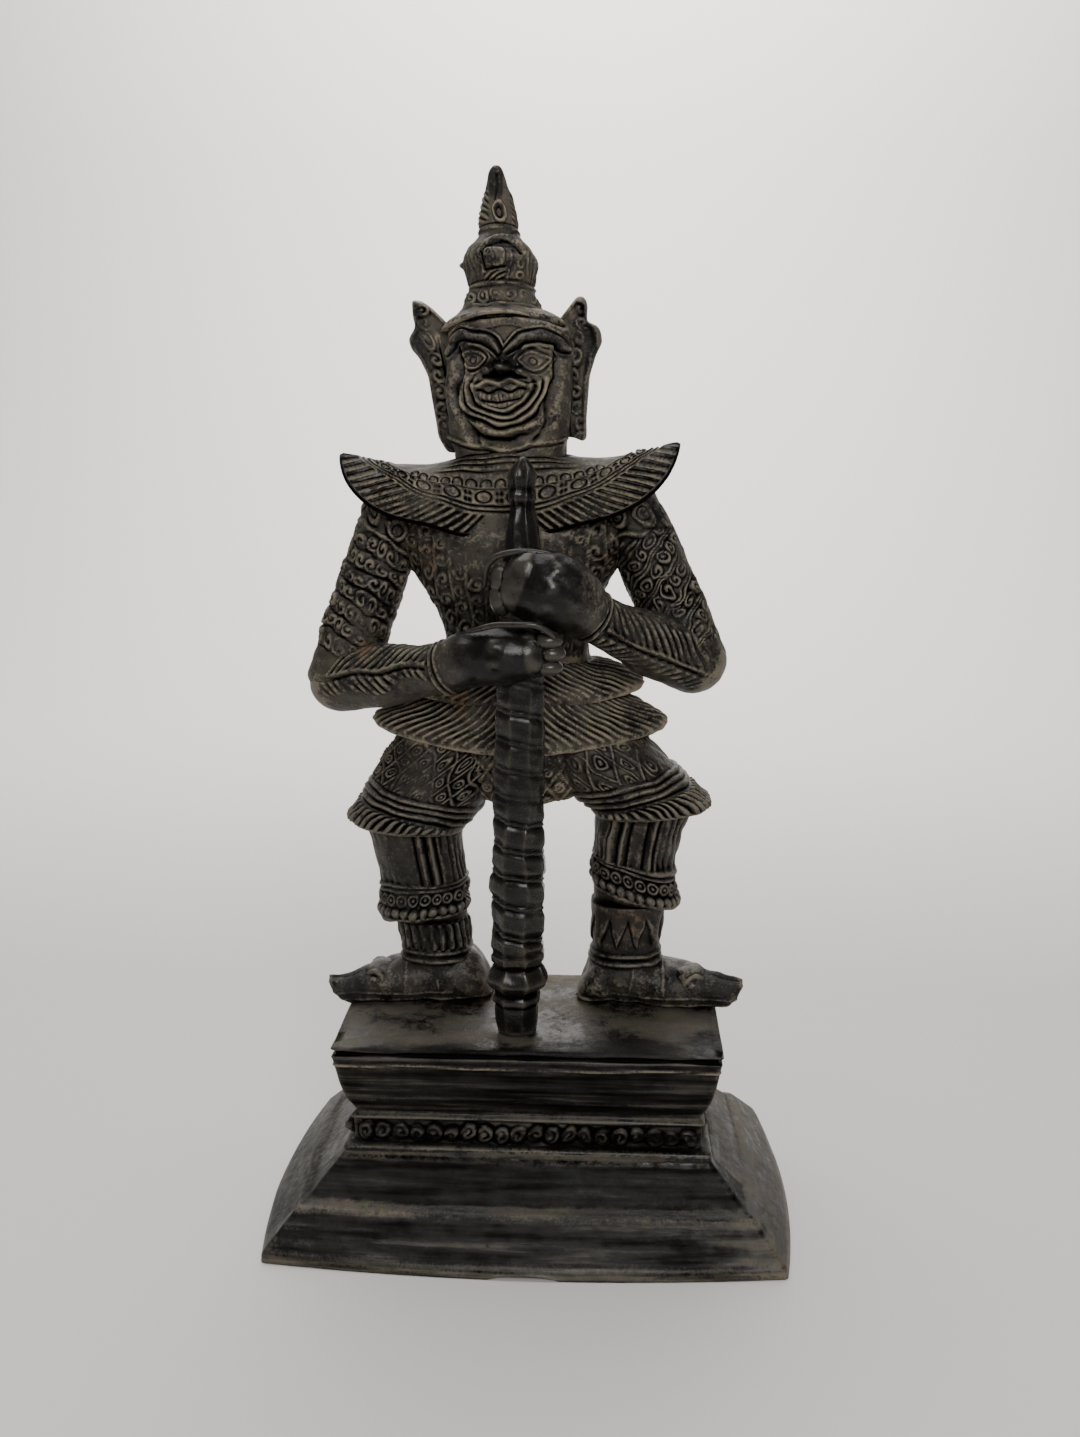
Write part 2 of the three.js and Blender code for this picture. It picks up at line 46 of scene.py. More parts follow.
SIDES = (-1, 1)  # left and right as seen from the front

# %% [markdown]
# ## The camera first
# The photograph was taken from a little right of the middle, about a third of a metre away and
# looking down. Setting the camera first means every form can be compared with it at once.
# The focal length was found in pixels of a picture 1437 pixels high. Blender wants it in
# millimetres, on a sensor whose long side is 36 mm.

# %% Camera
CAMERA_AT = np.array([20.7, -344.2, 200.5]) * MM
CAMERA_TURN = np.radians(3.07)
CAMERA_TILT = np.radians(11.25)
FOCAL_PIXELS = 1350
PICTURE_HEIGHT = 1437
SENSOR = 36

lens = bpy.data.cameras.new("camera")
lens.lens = SENSOR * FOCAL_PIXELS / PICTURE_HEIGHT
lens.sensor_width = SENSOR
lens.clip_start = 0.02
camera = bpy.data.objects.new("camera", lens)
camera.location = CAMERA_AT
camera.rotation_euler = (PI / 2 - CAMERA_TILT, 0, CAMERA_TURN)
bpy.context.scene.collection.objects.link(camera)
bpy.context.scene.camera = camera
print("lens", round(lens.lens, 2), "mm")

# %% [markdown]
# ## Reading sizes from short tables
# Hand-modelled forms swell and taper. Each is a short table of sizes at a few heights, read in
# between by a cubic that never overshoots, so a taper stays a taper.

# %% Table reader


def table(rows):
    """A reader of rows [position, value, ...]. Between rows it is a cubic whose slope at a row is
    the harmonic mean of the slopes on its two sides, or nothing where they differ in sign."""
    rows = np.array(rows, float)
    at, values = rows[:, 0], rows[:, 1:]
    gap = np.diff(at)[:, None]
    slope = np.diff(values, axis=0) / gap
    before, after = slope[:-1], slope[1:]
    same = before * after > 0
    mean = 2 * before * after / np.where(same, before + after, 1)
    tangent = np.concatenate([slope[:1], np.where(same, mean, 0), slope[-1:]])

    def read(position):
        """The values at each position, one array for each column."""
        position = np.clip(position, at[0], at[-1])
        i = np.clip(np.searchsorted(at, position, side="right") - 1, 0, len(at) - 2)
        t = ((position - at[i]) / gap[i, 0])[..., None]
        value = values[i] * (2 * t**3 - 3 * t**2 + 1) + values[i + 1] * (3 * t**2 - 2 * t**3)
        value += gap[i] * (tangent[i] * (t**3 - 2 * t**2 + t) + tangent[i + 1] * (t**3 - t**2))
        return np.moveaxis(value, -1, 0)

    return read


def sizes_at(rows, position):
    """A table's values at a column of positions, each value as a column."""
    return table(rows)(position[:, 0])[..., None]


def run_along(points):
    """The distance from the first point to each point, along the straight hops between them."""
    hops = np.linalg.norm(np.diff(points, axis=0), axis=1)
    return np.concatenate([[0], np.cumsum(hops)])


# %% [markdown]
# ## Surfaces on grids
# Every form is a grid of points: rows along it and columns round it. A column's angle is 0 at the
# front (-Y) and grows to the right. More columns look forward than back, because the front
# carries the carving. A skin closes on a point beyond its first and last row.

# %% Grid helpers


def full_turn(count):
    """Angles at even steps round a circle, the front in the middle."""
    return (np.arange(count) + 0.5) / count * 2 * PI - PI


def signed_power(value, power):
    """The size of a value to a power, with the sign that it had."""
    return np.sign(value) * np.abs(value) ** power


def superellipse(angle, power):
    """Places on a superellipse of half sizes 1: sin^(2/n) sideways and cos^(2/n) frontwards."""
    return signed_power(np.sin(angle), 2 / power), signed_power(np.cos(angle), 2 / power)


def angles(count, bias=0.4, power=2.0):
    """Angles round a superellipse at even steps of its outline. The steps t are drawn towards the
    front by t - bias sin t."""
    fine = np.linspace(-PI, PI, 4001)
    x, y = superellipse(fine, power)
    run = np.concatenate([[0], np.cumsum(np.hypot(np.diff(x), np.diff(y)))])
    t = full_turn(count)
    return np.interp((t - bias * np.sin(t) + PI) / (2 * PI), run / run[-1], fine)


def rings(z, middle_x, middle_y, half_x, half_y, angle, power=2.0):
    """Level rings: a superellipse, x = half width * sin^(2/n) and y = -half depth * cos^(2/n)."""
    side, front = superellipse(angle, power)
    x = middle_x + half_x * side
    y = middle_y - half_y * front
    return np.stack(np.broadcast_arrays(x, y, z), axis=-1)


def unit(vectors):
    """Each vector divided by its length."""
    return vectors / np.maximum(np.linalg.norm(vectors, axis=-1, keepdims=True), 1e-9)


END_RINGS = 9


def limb(path, sizes, count, angle, front=(0, -1, 0), cap=1.0):
    """A limb with round ends along a smooth path. sizes are rows of [share of the path, half
    height, half thickness]; the thickness points towards `front`. At an end the ring shrinks by a
    cosine while its middle moves on by the sine. Returns points, share and millimetres along."""
    keys = np.array(path, float)
    run = run_along(keys)
    place = table(np.column_stack([run / run[-1], keys]))
    quarter = np.linspace(PI / 2 - 0.12, 0.12, END_RINGS)
    ends = np.zeros(END_RINGS)
    share = np.concatenate([ends, np.linspace(0, 1, count), ends + 1])
    push = np.concatenate([-np.sin(quarter), np.zeros(count), np.sin(quarter[::-1])])
    shrink = np.concatenate([np.cos(quarter), np.ones(count), np.cos(quarter[::-1])])
    middle = place(share).T
    along = unit(place(np.minimum(share + 0.01, 1)).T - place(np.maximum(share - 0.01, 0)).T)
    front = np.broadcast_to(np.array(front, float), along.shape)
    out = unit(front - along * np.sum(front * along, axis=1, keepdims=True))
    height, thickness = table(sizes)(share)
    middle = middle + along * (push * thickness * cap)[:, None]
    up = np.cross(along, out)
    sideways, outwards = np.sin(angle)[None, :, None], np.cos(angle)[None, :, None]
    points = middle[:, None] + up[:, None] * (height * shrink)[:, None, None] * sideways
    points = points + out[:, None] * (thickness * shrink)[:, None, None] * outwards
    return points, share[:, None], (share * run[-1] + push * thickness * cap)[:, None]


def relieved(points, height, skin=1.0):
    """Moves each point along the surface's normal by `height` millimetres. Wear flattens some
    patches more than others, and the cast `skin` is never quite even."""
    across = np.roll(points, -1, 1) - np.roll(points, 1, 1)
    along = np.gradient(points, axis=0)
    normal = unit(np.cross(across, along))
    if np.sum(normal * (points - points.mean(1, keepdims=True))) < 0:
        normal = -normal
    worn = 1 + 0.35 * lumps(points, 6, 90)
    uneven = 0.08 * lumps(points, 1.4, 91) + 0.07 * lumps(points, 3, 92)
    return points + normal * (height * worn + skin * uneven)[..., None]


def ball(at, radii, rows=16, columns=24):
    """A ball stretched along the three axes."""
    lift = np.linspace(-PI / 2, PI / 2, rows + 2)[1:-1, None]
    angle = np.linspace(-PI, PI, columns, endpoint=False)[None]
    x = radii[0] * np.cos(lift) * np.sin(angle)
    y = -radii[1] * np.cos(lift) * np.cos(angle)
    z = np.broadcast_to(radii[2] * np.sin(lift), x.shape)
    return np.array(at, float) + np.stack([x, y, z], axis=-1)


# %% [markdown]
# ## From grids to one closed skin
# Overlapping skins are joined by Blender's Manifold boolean, as a founder joins wax parts before
# casting. What comes out is one closed surface, so the next step can walk over its edges.

# %% Meshes and joining


def mesh_of(name, grids):
    """A mesh of closed skins: quads between the rows, and a fan of triangles at each end."""
    corners, quads, fans, base = [], [], [], 0
    for grid in grids:
        rows, columns = grid.shape[:2]
        number = base + np.arange(rows * columns).reshape(rows, columns)
        after = np.roll(number, -1, 1)
        faces = np.stack([number[:-1], after[:-1], after[1:], number[1:]], axis=-1).reshape(-1, 4)
        first, last = base + rows * columns, base + rows * columns + 1
        ends = [
            np.stack([after[0], number[0], np.full(columns, first)], axis=-1),
            np.stack([number[-1], after[-1], np.full(columns, last)], axis=-1),
        ]
        fan = np.concatenate(ends)
        flat = np.concatenate([grid.reshape(-1, 3), grid[0].mean(0)[None], grid[-1].mean(0)[None]])
        local = faces - base
        a, b, c, d = (flat[local[:, k]] for k in range(4))
        if np.sum(np.cross(c - a, d - b) * (a + b + c + d)) < 0:
            faces, fan = faces[:, ::-1], fan[:, ::-1]
        corners.append(flat)
        quads.append(faces)
        fans.append(fan)
        base += len(flat)
    corners, quads, fans = np.concatenate(corners), np.concatenate(quads), np.concatenate(fans)
    mesh = bpy.data.meshes.new(name)
    mesh.vertices.add(len(corners))
    mesh.vertices.foreach_set("co", (corners * MM).astype(np.float32).ravel())
    loops = np.concatenate([quads.ravel(), fans.ravel()]).astype(np.int32)
    mesh.loops.add(len(loops))
    mesh.loops.foreach_set("vertex_index", loops)
    starts = np.concatenate([4 * np.arange(len(quads)), 4 * len(quads) + 3 * np.arange(len(fans))])
    mesh.polygons.add(len(starts))
    mesh.polygons.foreach_set("loop_start", starts.astype(np.int32))
    mesh.update(calc_edges=True)
    mesh.validate()
    return mesh


def joined(name, *groups):
    """One closed skin from groups of grids. Grids within a group stay clear of each other."""
    pieces = [bpy.data.objects.new(name, mesh_of(name, group)) for group in groups]
    for piece in pieces:
        bpy.context.scene.collection.objects.link(piece)
    whole = pieces[0]
    for part in pieces[1:]:
        join = whole.modifiers.new("join", "BOOLEAN")
        join.operation, join.solver, join.object = "UNION", "MANIFOLD", part
    graph = bpy.context.evaluated_depsgraph_get()
    mesh = bpy.data.meshes.new_from_object(whole.evaluated_get(graph))
    whole.modifiers.clear()
    whole.data = mesh
    mesh.name = name
    for part in pieces[1:]:
        bpy.data.objects.remove(part)
    mesh.polygons.foreach_set("use_smooth", np.ones(len(mesh.polygons), bool))
    return whole


casting = {}


def cast(name, *groups):
    """Joins groups of grids into a piece of the casting, and says how many faces it has."""
    casting[name] = joined(name, *groups)
    print(name, "has", len(casting[name].data.polygons), "faces")


# %% [markdown]
# ## Motifs
# The carving repeats a few motifs: lines, domes, scrolls, rings with a dot. Each is a height
# between 0 and 1 worked out from a distance in millimetres. A founder's wax has slightly uneven
# ones, so sums of slow waves shift their places.

# %% Motif helpers


def smooth(low, high, value):
    """0 up to low, 1 from high on, and 3t^2 - 2t^3 between them."""
    t = np.clip((value - low) / (high - low), 0, 1)
    return t * t * (3 - 2 * t)


def line(distance, width):
    """A rounded ridge, 1 on the line and nothing past `width`."""
    return 1 - smooth(0, width, np.abs(distance))


def dome(distance, radius):
    """Half a ball: the root of 1 - (distance / radius)^2."""
    return np.sqrt(np.clip(1 - (distance / radius) ** 2, 0, 1))


def between(value, low, high, edge=0.4):
    """1 from low to high, falling to nothing over `edge` on both sides."""
    return smooth(low - edge, low, value) * (1 - smooth(high, high + edge, value))


def waves(distance, pitch):
    """A cosine that is 1 at every whole number of pitches."""
    return np.cos(2 * PI * distance / pitch)


def cell(position, pitch):
    """Which cell of a row a place is in, and how far it is from the cell's middle."""
    number = np.floor(position / pitch)
    return number, position - (number + 0.5) * pitch


def chance(*numbers):
    """A repeatable number from 0 to 1 for each cell: the fraction of a large sine."""
    total = sum(weight * number for weight, number in zip((12.9898, 78.233, 37.719), numbers))
    return np.sin(total + 0.37) * 43758.5453 % 1


def curl(x, y, radius, turn=0.0, hand=1, pitch=1.5):
    """A scroll: a cosine of 2 pi r / pitch less the angle, so its crest winds outwards."""
    r, angle = np.hypot(x, y), np.arctan2(y, x)
    wave = 0.5 + 0.5 * np.cos(2 * PI * r / pitch - hand * (angle - turn))
    return wave * (1 - smooth(radius - 0.35, radius, r))


def rosette(x, y, radius):
    """A ring with a dot in it."""
    r = np.hypot(x, y)
    return np.maximum(line(r - 0.74 * radius, 0.34 * radius), dome(r, 0.36 * radius))


def lumps(points, size, seed):
    """Slow unevenness between about -1 and 1: six waves of about `size` mm in random directions."""
    random = np.random.default_rng(seed)
    total = 0
    for _ in range(6):
        wave = unit(random.normal(size=3)) * random.uniform(0.7, 1.5) / size
        total = total + np.sin(points @ wave * 2 + random.uniform(0, 2 * PI))
    return total / 3


def around(points):
    """Millimetres round each ring of a grid, from its frontmost column and to the right."""
    step = np.linalg.norm(np.roll(points, -1, 1) - points, axis=-1)
    run = np.cumsum(step, axis=1) - step
    front = points.shape[1] // 2
    return run - run[:, front : front + 1]


# %% [markdown]
# ## The plinth
# The real plinth is cast with the figure: a sloped foot in two steps with bowed sides, a recessed
# row of scrolls, and a cap that flares to the top. It is one profile carried round a rounded
# rectangle. The scrolls are a second, finer grid, so that the plain faces can stay coarse.

# %% Plinth
BASE_WIDTH = 132
BASE_DEPTH = 85
PLINTH_TOP = 51
CORNER_RADIUS = 1.4
FOOT_BOW = 4
SCROLL_INSET = 20.6
SCROLL_Z = 26.3
THREAD_Z = 46.4
CORNER_STEPS = 6
TOP_INSET = 15.9
# Rows of [height, how far in from the underside's edge].
PLINTH_PROFILE = [
    [0, 0], [2.4, 0.3], [11.3, 8.2], [11.9, 9.9], [20.6, 18.2], [22.8, 18.2],
    [23.3, 21.4], [29.3, 21.4], [29.9, 19.6], [31.2, 21.4], [36, 18.8], [41, 17.3],
    [48.2, 15.9], [48.7, 15.5], [49.3, 16.8], [49.9, 15.7], [50.9, TOP_INSET],
]


def perimeter(front_count, side_count):
    """Columns round a rounded rectangle: shares of its half sizes, outward directions, and the
    share along the side. One side and one corner, turned by quarters."""
    corner = np.linspace(0, PI / 2, CORNER_STEPS + 2)[1:-1]
    places, outwards, shares = [], [], []
    for turn in range(4):
        side = np.linspace(-1, 1, (front_count, side_count)[turn % 2])
        share = np.append(side, np.ones(CORNER_STEPS))
        out_x = np.append(0 * side, np.sin(corner))
        out_y = np.append(0 * side - 1, -np.cos(corner))
        at = np.stack([share, -np.ones(len(share))], axis=-1)
        out = np.stack([out_x, out_y], axis=-1)
        for _ in range(turn):
            at, out = at[:, ::-1] * (-1, 1), out[:, ::-1] * (-1, 1)
        places.append(at)
        outwards.append(out)
        shares.append(share)
    return np.concatenate(places), np.concatenate(outwards), np.concatenate(shares)


def softened(rows, step):
    """A profile's corners rounded: points at even steps along it, averaged over three."""
    rows = np.array(rows, float)
    run = run_along(rows)
    at = np.linspace(0, run[-1], int(run[-1] / step))
    even = np.stack([np.interp(at, run, column) for column in rows.T], axis=-1)
    padded = np.concatenate([even[:1], even, even[-1:]])
    return (padded[:-2] + padded[1:-1] + padded[2:]) / 3


def block(z, inset, columns, shrink):
    """Rounded rectangles at heights z, `inset` from the underside's edge, scaled by `shrink`."""
    at, out, share = columns
    half = np.array([BASE_WIDTH / 2, BASE_DEPTH / 2]) - inset[:, None] - CORNER_RADIUS
    bow = FOOT_BOW * np.maximum(0, 1 - z / 24)[:, None] ** 1.5 * (1 - share**2)
    flat = at * half[:, None] + out * (CORNER_RADIUS + bow)[..., None]
    flat = flat * shrink[:, None, None]
    return np.dstack([flat, np.broadcast_to(z[:, None], flat.shape[:2])])


def above_thread(points):
    """Millimetres above a thin raised line under the top's edge, which wanders a little."""
    return points[..., 2] - THREAD_Z - 0.35 * lumps(points, 12, 95)


def plinth_body():
    """The profile between a flat underside and a flat top, both drawn in by even steps. Slow lumps
    unsettle it, the top's rim most, and a nick lifts the middle of the front edge."""
    profile = softened(PLINTH_PROFILE, 0.6)
    inward = np.linspace(1, 0, 18)[1:-1]
    flat = inward * 0
    z = np.concatenate([flat, profile[:, 0], flat + PLINTH_TOP])
    inset = np.concatenate([flat, profile[:, 1], flat + TOP_INSET])
    shrink = np.concatenate([inward[::-1], np.ones(len(profile)), inward])
    points = block(z, inset, perimeter(146, 80), shrink)
    hand = 0.2 * lumps(points, 14, 1) + 0.05 * lumps(points, 4, 2)
    rim = (0.22 * lumps(points, 6, 3) - 0.3) * line(points[..., 2] - 49.4, 1.1)
    rim = rim + 0.3 * line(above_thread(points), 0.5) * (points[..., 1] < 0)
    steady = smooth(0.2, 3, points[..., 2])
    points = relieved(points, (hand + rim) * steady, skin=0.25)
    x, y, height = np.moveaxis(points, -1, 0)
    nick = 1.2 * np.clip(1 - ((x - 0.5) / 9) ** 4, 0, 1) * smooth(-30, -40, y)
    points[..., 2] = np.maximum(height, nick)
    return points


def scroll_band():
    """The recessed wall with a row of scrolls: each cell's curl on a low dome."""
    z = np.linspace(22.2, 30.2, 25)
    columns = perimeter(230, 104)
    points = block(z, np.full(len(z), SCROLL_INSET), columns, np.ones(len(z)))
    _, out, share = columns
    is_front = np.abs(out[:, 1]) > 0.7
    half = np.where(is_front, BASE_WIDTH, BASE_DEPTH) / 2 - SCROLL_INSET
    count = np.where(is_front, 20, 10)
    number, across = cell((share + 1) / 2 * count, 1)
    across = across * (2 * half / count) + 0.5 * lumps(points, 2.4, 6)
    up = points[..., 2] - SCROLL_Z + 0.3 * np.sin(5 * number) + 0.5 * lumps(points, 2.4, 7)
    r = np.hypot(across, up)
    turn = 0.6 + 3 * chance(number)
    scroll = 0.7 * dome(r, 2.5) + 0.4 * curl(across, up, 2.35, turn=turn, pitch=2.1)
    scroll = scroll * (0.8 + 0.3 * lumps(points, 5, 8)) + 0.15 * lumps(points, 1.6, 9)
    height = 1.9 * scroll * (1 - smooth(0.985, 1, np.abs(share)))
    return relieved(points, height)


cast("plinth", [plinth_body()], [scroll_band()])

# %% [markdown]
# ## The club
# It is a turned foot, a shaft wound with one long rope-like rib, and a budded tip. The rib is a
# height on the angle and the height together, so its valleys climb like a screw's. A file left
# eight flat faces along it.

# %% Club
CLUB_Y = -12.5
CLUB_FOOT_X = -3.2
CLUB_TIP = [-1.2, 199.4]
RIB_PITCH = 7.2
CLUB_FLATS = 8
# Rows of [height, radius].
CLUB_PROFILE = [
    [50.2, 3.6], [51, 4.8], [53, 5.5], [57.4, 5.8], [59, 5.6], [59.8, 6.4], [61, 6.4],
    [61.8, 5.7], [65.2, 8.2], [68.6, 6.8], [69.8, 5.9], [70.6, 6.9], [72.4, 7.2], [73.6, 6.6],
    [75, 7], [110, 6.8], [143, 6.2], [158, 5.7], [172, 5.2], [182, 4.2], [187.6, 3.2],
    [188.8, 3.8], [190.2, 3.7], [191, 3.3], [194.5, 3.8], [197.4, 2.2], [199.2, 0.6],
]


def facets(angle, count):
    """The outline of a regular polygon as a share of its circle."""
    sector = 2 * PI / count
    return np.cos(sector / 2) / np.cos(angle % sector - sector / 2)


def club():
    """Rings up a leaning line. The phase z / pitch + angle / 2 pi is whole in the screw's valley,
    and its distance to the nearest whole number gives the rib."""
    z = np.linspace(50.3, 199.2, 330)[:, None]
    angle = angles(88, 0.35)[None]
    radius = sizes_at(CLUB_PROFILE, z)[0]
    lean = (z - PLINTH_TOP) / (CLUB_TIP[1] - PLINTH_TOP)
    x = CLUB_FOOT_X + (CLUB_TIP[0] - CLUB_FOOT_X) * lean
    points = rings(z, x, CLUB_Y, radius, radius, angle)
    shake = lumps(points, 6, 5)
    deep = 0.45 + 0.55 * smooth(125, 84, z)
    phase = (z / RIB_PITCH + angle / (2 * PI) + 0.12 * np.sin(z / 9) + 0.05 * shake) % 1
    valley = np.minimum(phase, 1 - phase) * RIB_PITCH
    rib = 0.35 - 0.95 * line(valley, 2.2) + 0.7 * line(valley, 0.6)
    rib = rib * deep * between(z, 74, 160, 1.5)
    filed = 1 - facets(angle + PI / CLUB_FLATS + 0.12 * shake, CLUB_FLATS)
    filed = filed * (between(z, 52, 172) + 1.6 * between(z, 173, 198))
    return relieved(points, rib - radius * filed + 0.2 * shake + 0.16 * lumps(points, 2.5, 4))


cast("club", [club()])

# %% [markdown]
# ## Legs
# Each leg is a puffed trouser leg with a lattice and a ruffled hem, a fluted legging with an
# anklet, and a shoe that points sideways, with a knot on its instep. The two sides have sizes of
# their own, because the wax was shaped by hand.

# %% Leg sizes
BODY_Y = 12
FEET_X = -1
CROWN_X = -8.6
HEIGHT = 270
LEG_POWER = 2.2
# Shin rows are [height, x, half width]; the anklet's lower edge is at `anklet`.
LEGS = {
    -1: {
        "hem": (-34.6, 11.4, 100.5),
        "bold_flutes": [2.4, 5.2],
        "slant": 1.1,
        "anklet": 75.2,
        "shin": [
            [57, -26.9, 10.6], [66, -27.2, 9.6], [73.7, -28.4, 9.6], [75.2, -30.8, 12.1],
            [82.6, -30.5, 11.5], [93, -32, 12.2], [104, -33.4, 14],
        ],
        "heel": (-11.6, 13),
        "toe": (-56.0, 3.6, 56.6),
    },
    1: {
        "hem": (31.8, 11.4, 105.5),
        "bold_flutes": [-7.6, -4.4, 3.2],
        "slant": 3.2,
        "anklet": 81,
        "shin": [
            [57, 25.4, 10.4], [66, 25.4, 9.5], [79.5, 26, 9.6], [81, 27.8, 11.7],
            [88.4, 27.4, 11], [97, 28.2, 11.7], [108, 30.4, 13.6],
        ],
        "heel": (12.2, 13.4),
        "toe": (57.1, 4.4, 57.4),
    },
}


def lean_x(z):
    """The figure's middle line, because the casting leans to the left."""
    return FEET_X + (CROWN_X - FEET_X) * (z - PLINTH_TOP) / (HEIGHT - PLINTH_TOP)


def lattice(u, v, width, height, ring_size):
    """Crossing slanted lines with a rosette in every diamond. a and b count the lines of the two
    families, and their fractions give the place within a diamond."""
    a, b = u / width + v / height, u / width - v / height
    scale = 1 / np.hypot(1 / width, 1 / height)
    nearest = np.minimum(np.abs(a - np.round(a)), np.abs(b - np.round(b))) * scale
    da, db = a - np.floor(a) - 0.5, b - np.floor(b) - 0.5
    ring = rosette((da + db) / 2 * width, (da - db) / 2 * height, ring_size)
    return np.maximum(0.8 * line(nearest, 0.5), ring)


# %% Thigh, shin and shoe
THIGH_TOP = 126
HIP_Z = 124
HIP_REACH = 17
# Rows of [share from hip to hem, sideways share, half width, half depth].
THIGH = [
    [0, 0, 15, 12], [0.3, 0.26, 16.6, 13.8], [0.6, 0.62, 15.9, 14.6], [0.8, 0.86, 15.4, 14.2],
    [0.86, 0.92, 15.5, 14.4], [0.93, 0.97, 16.3, 14.9], [1, 1, 15.2, 14],
]
# Rows of [share from heel to toe, sole z, top z, half width].
SHOE = [
    [0, 50.4, 53.6, 5], [0.03, 50.1, 57, 7.2], [0.08, 50, 61.4, 8.7], [0.16, 50, 64.2, 9.6],
    [0.26, 50, 64.4, 9.8], [0.42, 50, 63.3, 9.8], [0.58, 50, 61.6, 8.8], [0.72, 49.8, 60.4, 7.6],
    [0.85, 49.8, 58.7, 5.5], [0.89, 50.4, 58.3, 4.8], [0.93, 52, 58.1, 3.9],
    [0.97, 54.4, 57.9, 2.6], [1, 56.6, 57.7, 0.9],
]
SHOE_POWER = 2.4
SHOE_BEND = 2.2
KNOT_SHARE = 0.68
KNOT_Z = 58
KNOT_RADII = (5.2, 5.8, 3.7)


def thigh(side):
    """Rings from the hip to the hem. Above the hem w is in millimetres: slanted ruffles, three
    plain ridges, then the lattice."""
    hem_x, hem_y, hem_z = LEGS[side]["hem"]
    hip_x = lean_x(HIP_Z) + side * HIP_REACH
    share = np.linspace(0, 1, 96)[:, None]
    angle = angles(230, 0.4, LEG_POWER)[None]
    sideways, half, depth = sizes_at(THIGH, share)
    z = THIGH_TOP + (hem_z - THIGH_TOP) * share
    points = rings(z, hip_x + (hem_x - hip_x) * sideways, hem_y, half, depth, angle, LEG_POWER)
    points[..., 2] += side * 1.2 * share * superellipse(angle, LEG_POWER)[0]
    inner = np.maximum(-side * np.sin(angle), 0) ** 2 * between(share, 0.5, 0.74, 0.25)
    points[..., 0] -= side * 2.4 * inner
    points = points + 0.2 * lumps(points, 6, 5 + side)[..., None] * (1, 1, 0)
    u = around(points)
    w = (1 - share) * (THIGH_TOP - hem_z)
    shake = 0.8 * lumps(points, 4, 7 + side) + 0.3 * lumps(points, 1.8, 17 + side)
    slanted = w - 0.2 * side * (points[..., 0] - hem_x) + 0.4 * shake
    stroke = waves(u + side * 0.8 * w + shake, 2.6)
    ruffle = 1.0 * smooth(-0.7, 0.7, stroke) * smooth(0.5, 1.2, w) * smooth(4.2, 3.4, slanted)
    edges = 0.4 * line(w - 0.3, 0.7) - 0.6 * line(slanted - 4.9, 0.6)
    ridges = sum(line(slanted - at, 1.0) for at in (6, 8, 9.9)) * 0.75
    width, ring = (5.4, 1.4) if side < 0 else (7, 1.75)
    patchy = 0.55 + 0.45 * lumps(points, 7, 18 + side)
    pattern = patchy * lattice(u + shake, w + shake, width, 1.4 * width, ring)
    pattern = pattern * smooth(10.9, 11.7, slanted)
    return relieved(points, ruffle + edges + ridges + pattern)


def shin(side):
    """Rings up the lower leg. Over the anklet v is in millimetres: an edge, a row of beads, a row
    of rosettes, two lines, and flutes above them."""
    leg = LEGS[side]
    anklet = leg["anklet"]
    z = np.linspace(57, leg["hem"][2] + 2, 128)[:, None]
    x, half = sizes_at(leg["shin"], z)
    angle = angles(180, 0.45, LEG_POWER)[None]
    points = rings(z, x, BODY_Y + 0.6, half, 0.93 * half, angle, LEG_POWER)
    slant = -side * leg["slant"] * smooth(anklet - 2, anklet, z)
    slant = slant * (1 - smooth(anklet + 8, anklet + 12, z))
    points[..., 2] += slant * superellipse(angle, LEG_POWER)[0]
    u = around(points) + 0.35 * lumps(points, 5, 9 + side) + 0.2 * lumps(points, 1.7, 13 + side)
    v = z - anklet
    shake = lumps(points, 5, 14 + side)
    flutes = (0.12 + 0.14 * lumps(points, 6, 21)) * waves(u, 2.3)
    steady = around(points)
    aways = [steady - at for at in leg["bold_flutes"]]
    bold = sum(line(away, 1.1) - 0.8 * line(np.abs(away) - 1.5, 0.6) for away in aways)
    flutes = (flutes * (1 - smooth(0, 0.5, np.abs(bold))) + 1.2 * bold) * smooth(9, 10.5, v)
    bump = 0.35 * shake
    beads = dome(np.hypot(cell(u, 2.7)[1], v - 2.1 + bump), 1.4) * (1.0 + 0.3 * shake)
    dots = rosette(cell(u, 3.3)[1], v - 5.6 + bump, 1.7) * (0.8 + 0.3 * lumps(points, 3, 19))
    lines = 0.5 * line(v - 0.4, 0.7) + 0.5 * line(v - 8.0 + bump, 0.6)
    lines = lines + 0.6 * line(v - 9.3 + bump, 0.6)
    band = between(z, 66.4, anklet - 2.2)
    if side < 0:
        ankle = 0.45 * waves(u, 2.5) * band
    else:
        ankle = 0.7 * smooth(0, 0.2, (z - 67) / 8 - np.abs(cell(u, 5.2)[1]) / 2.6) * band
    cuffs = 0.6 * line(z - 62.8, 0.9) + 0.5 * line(z - 65, 0.7)
    height = flutes + beads + dots + lines + ankle + cuffs
    return relieved(points, height + 0.25 * lumps(points, 2.6, 20 + side))


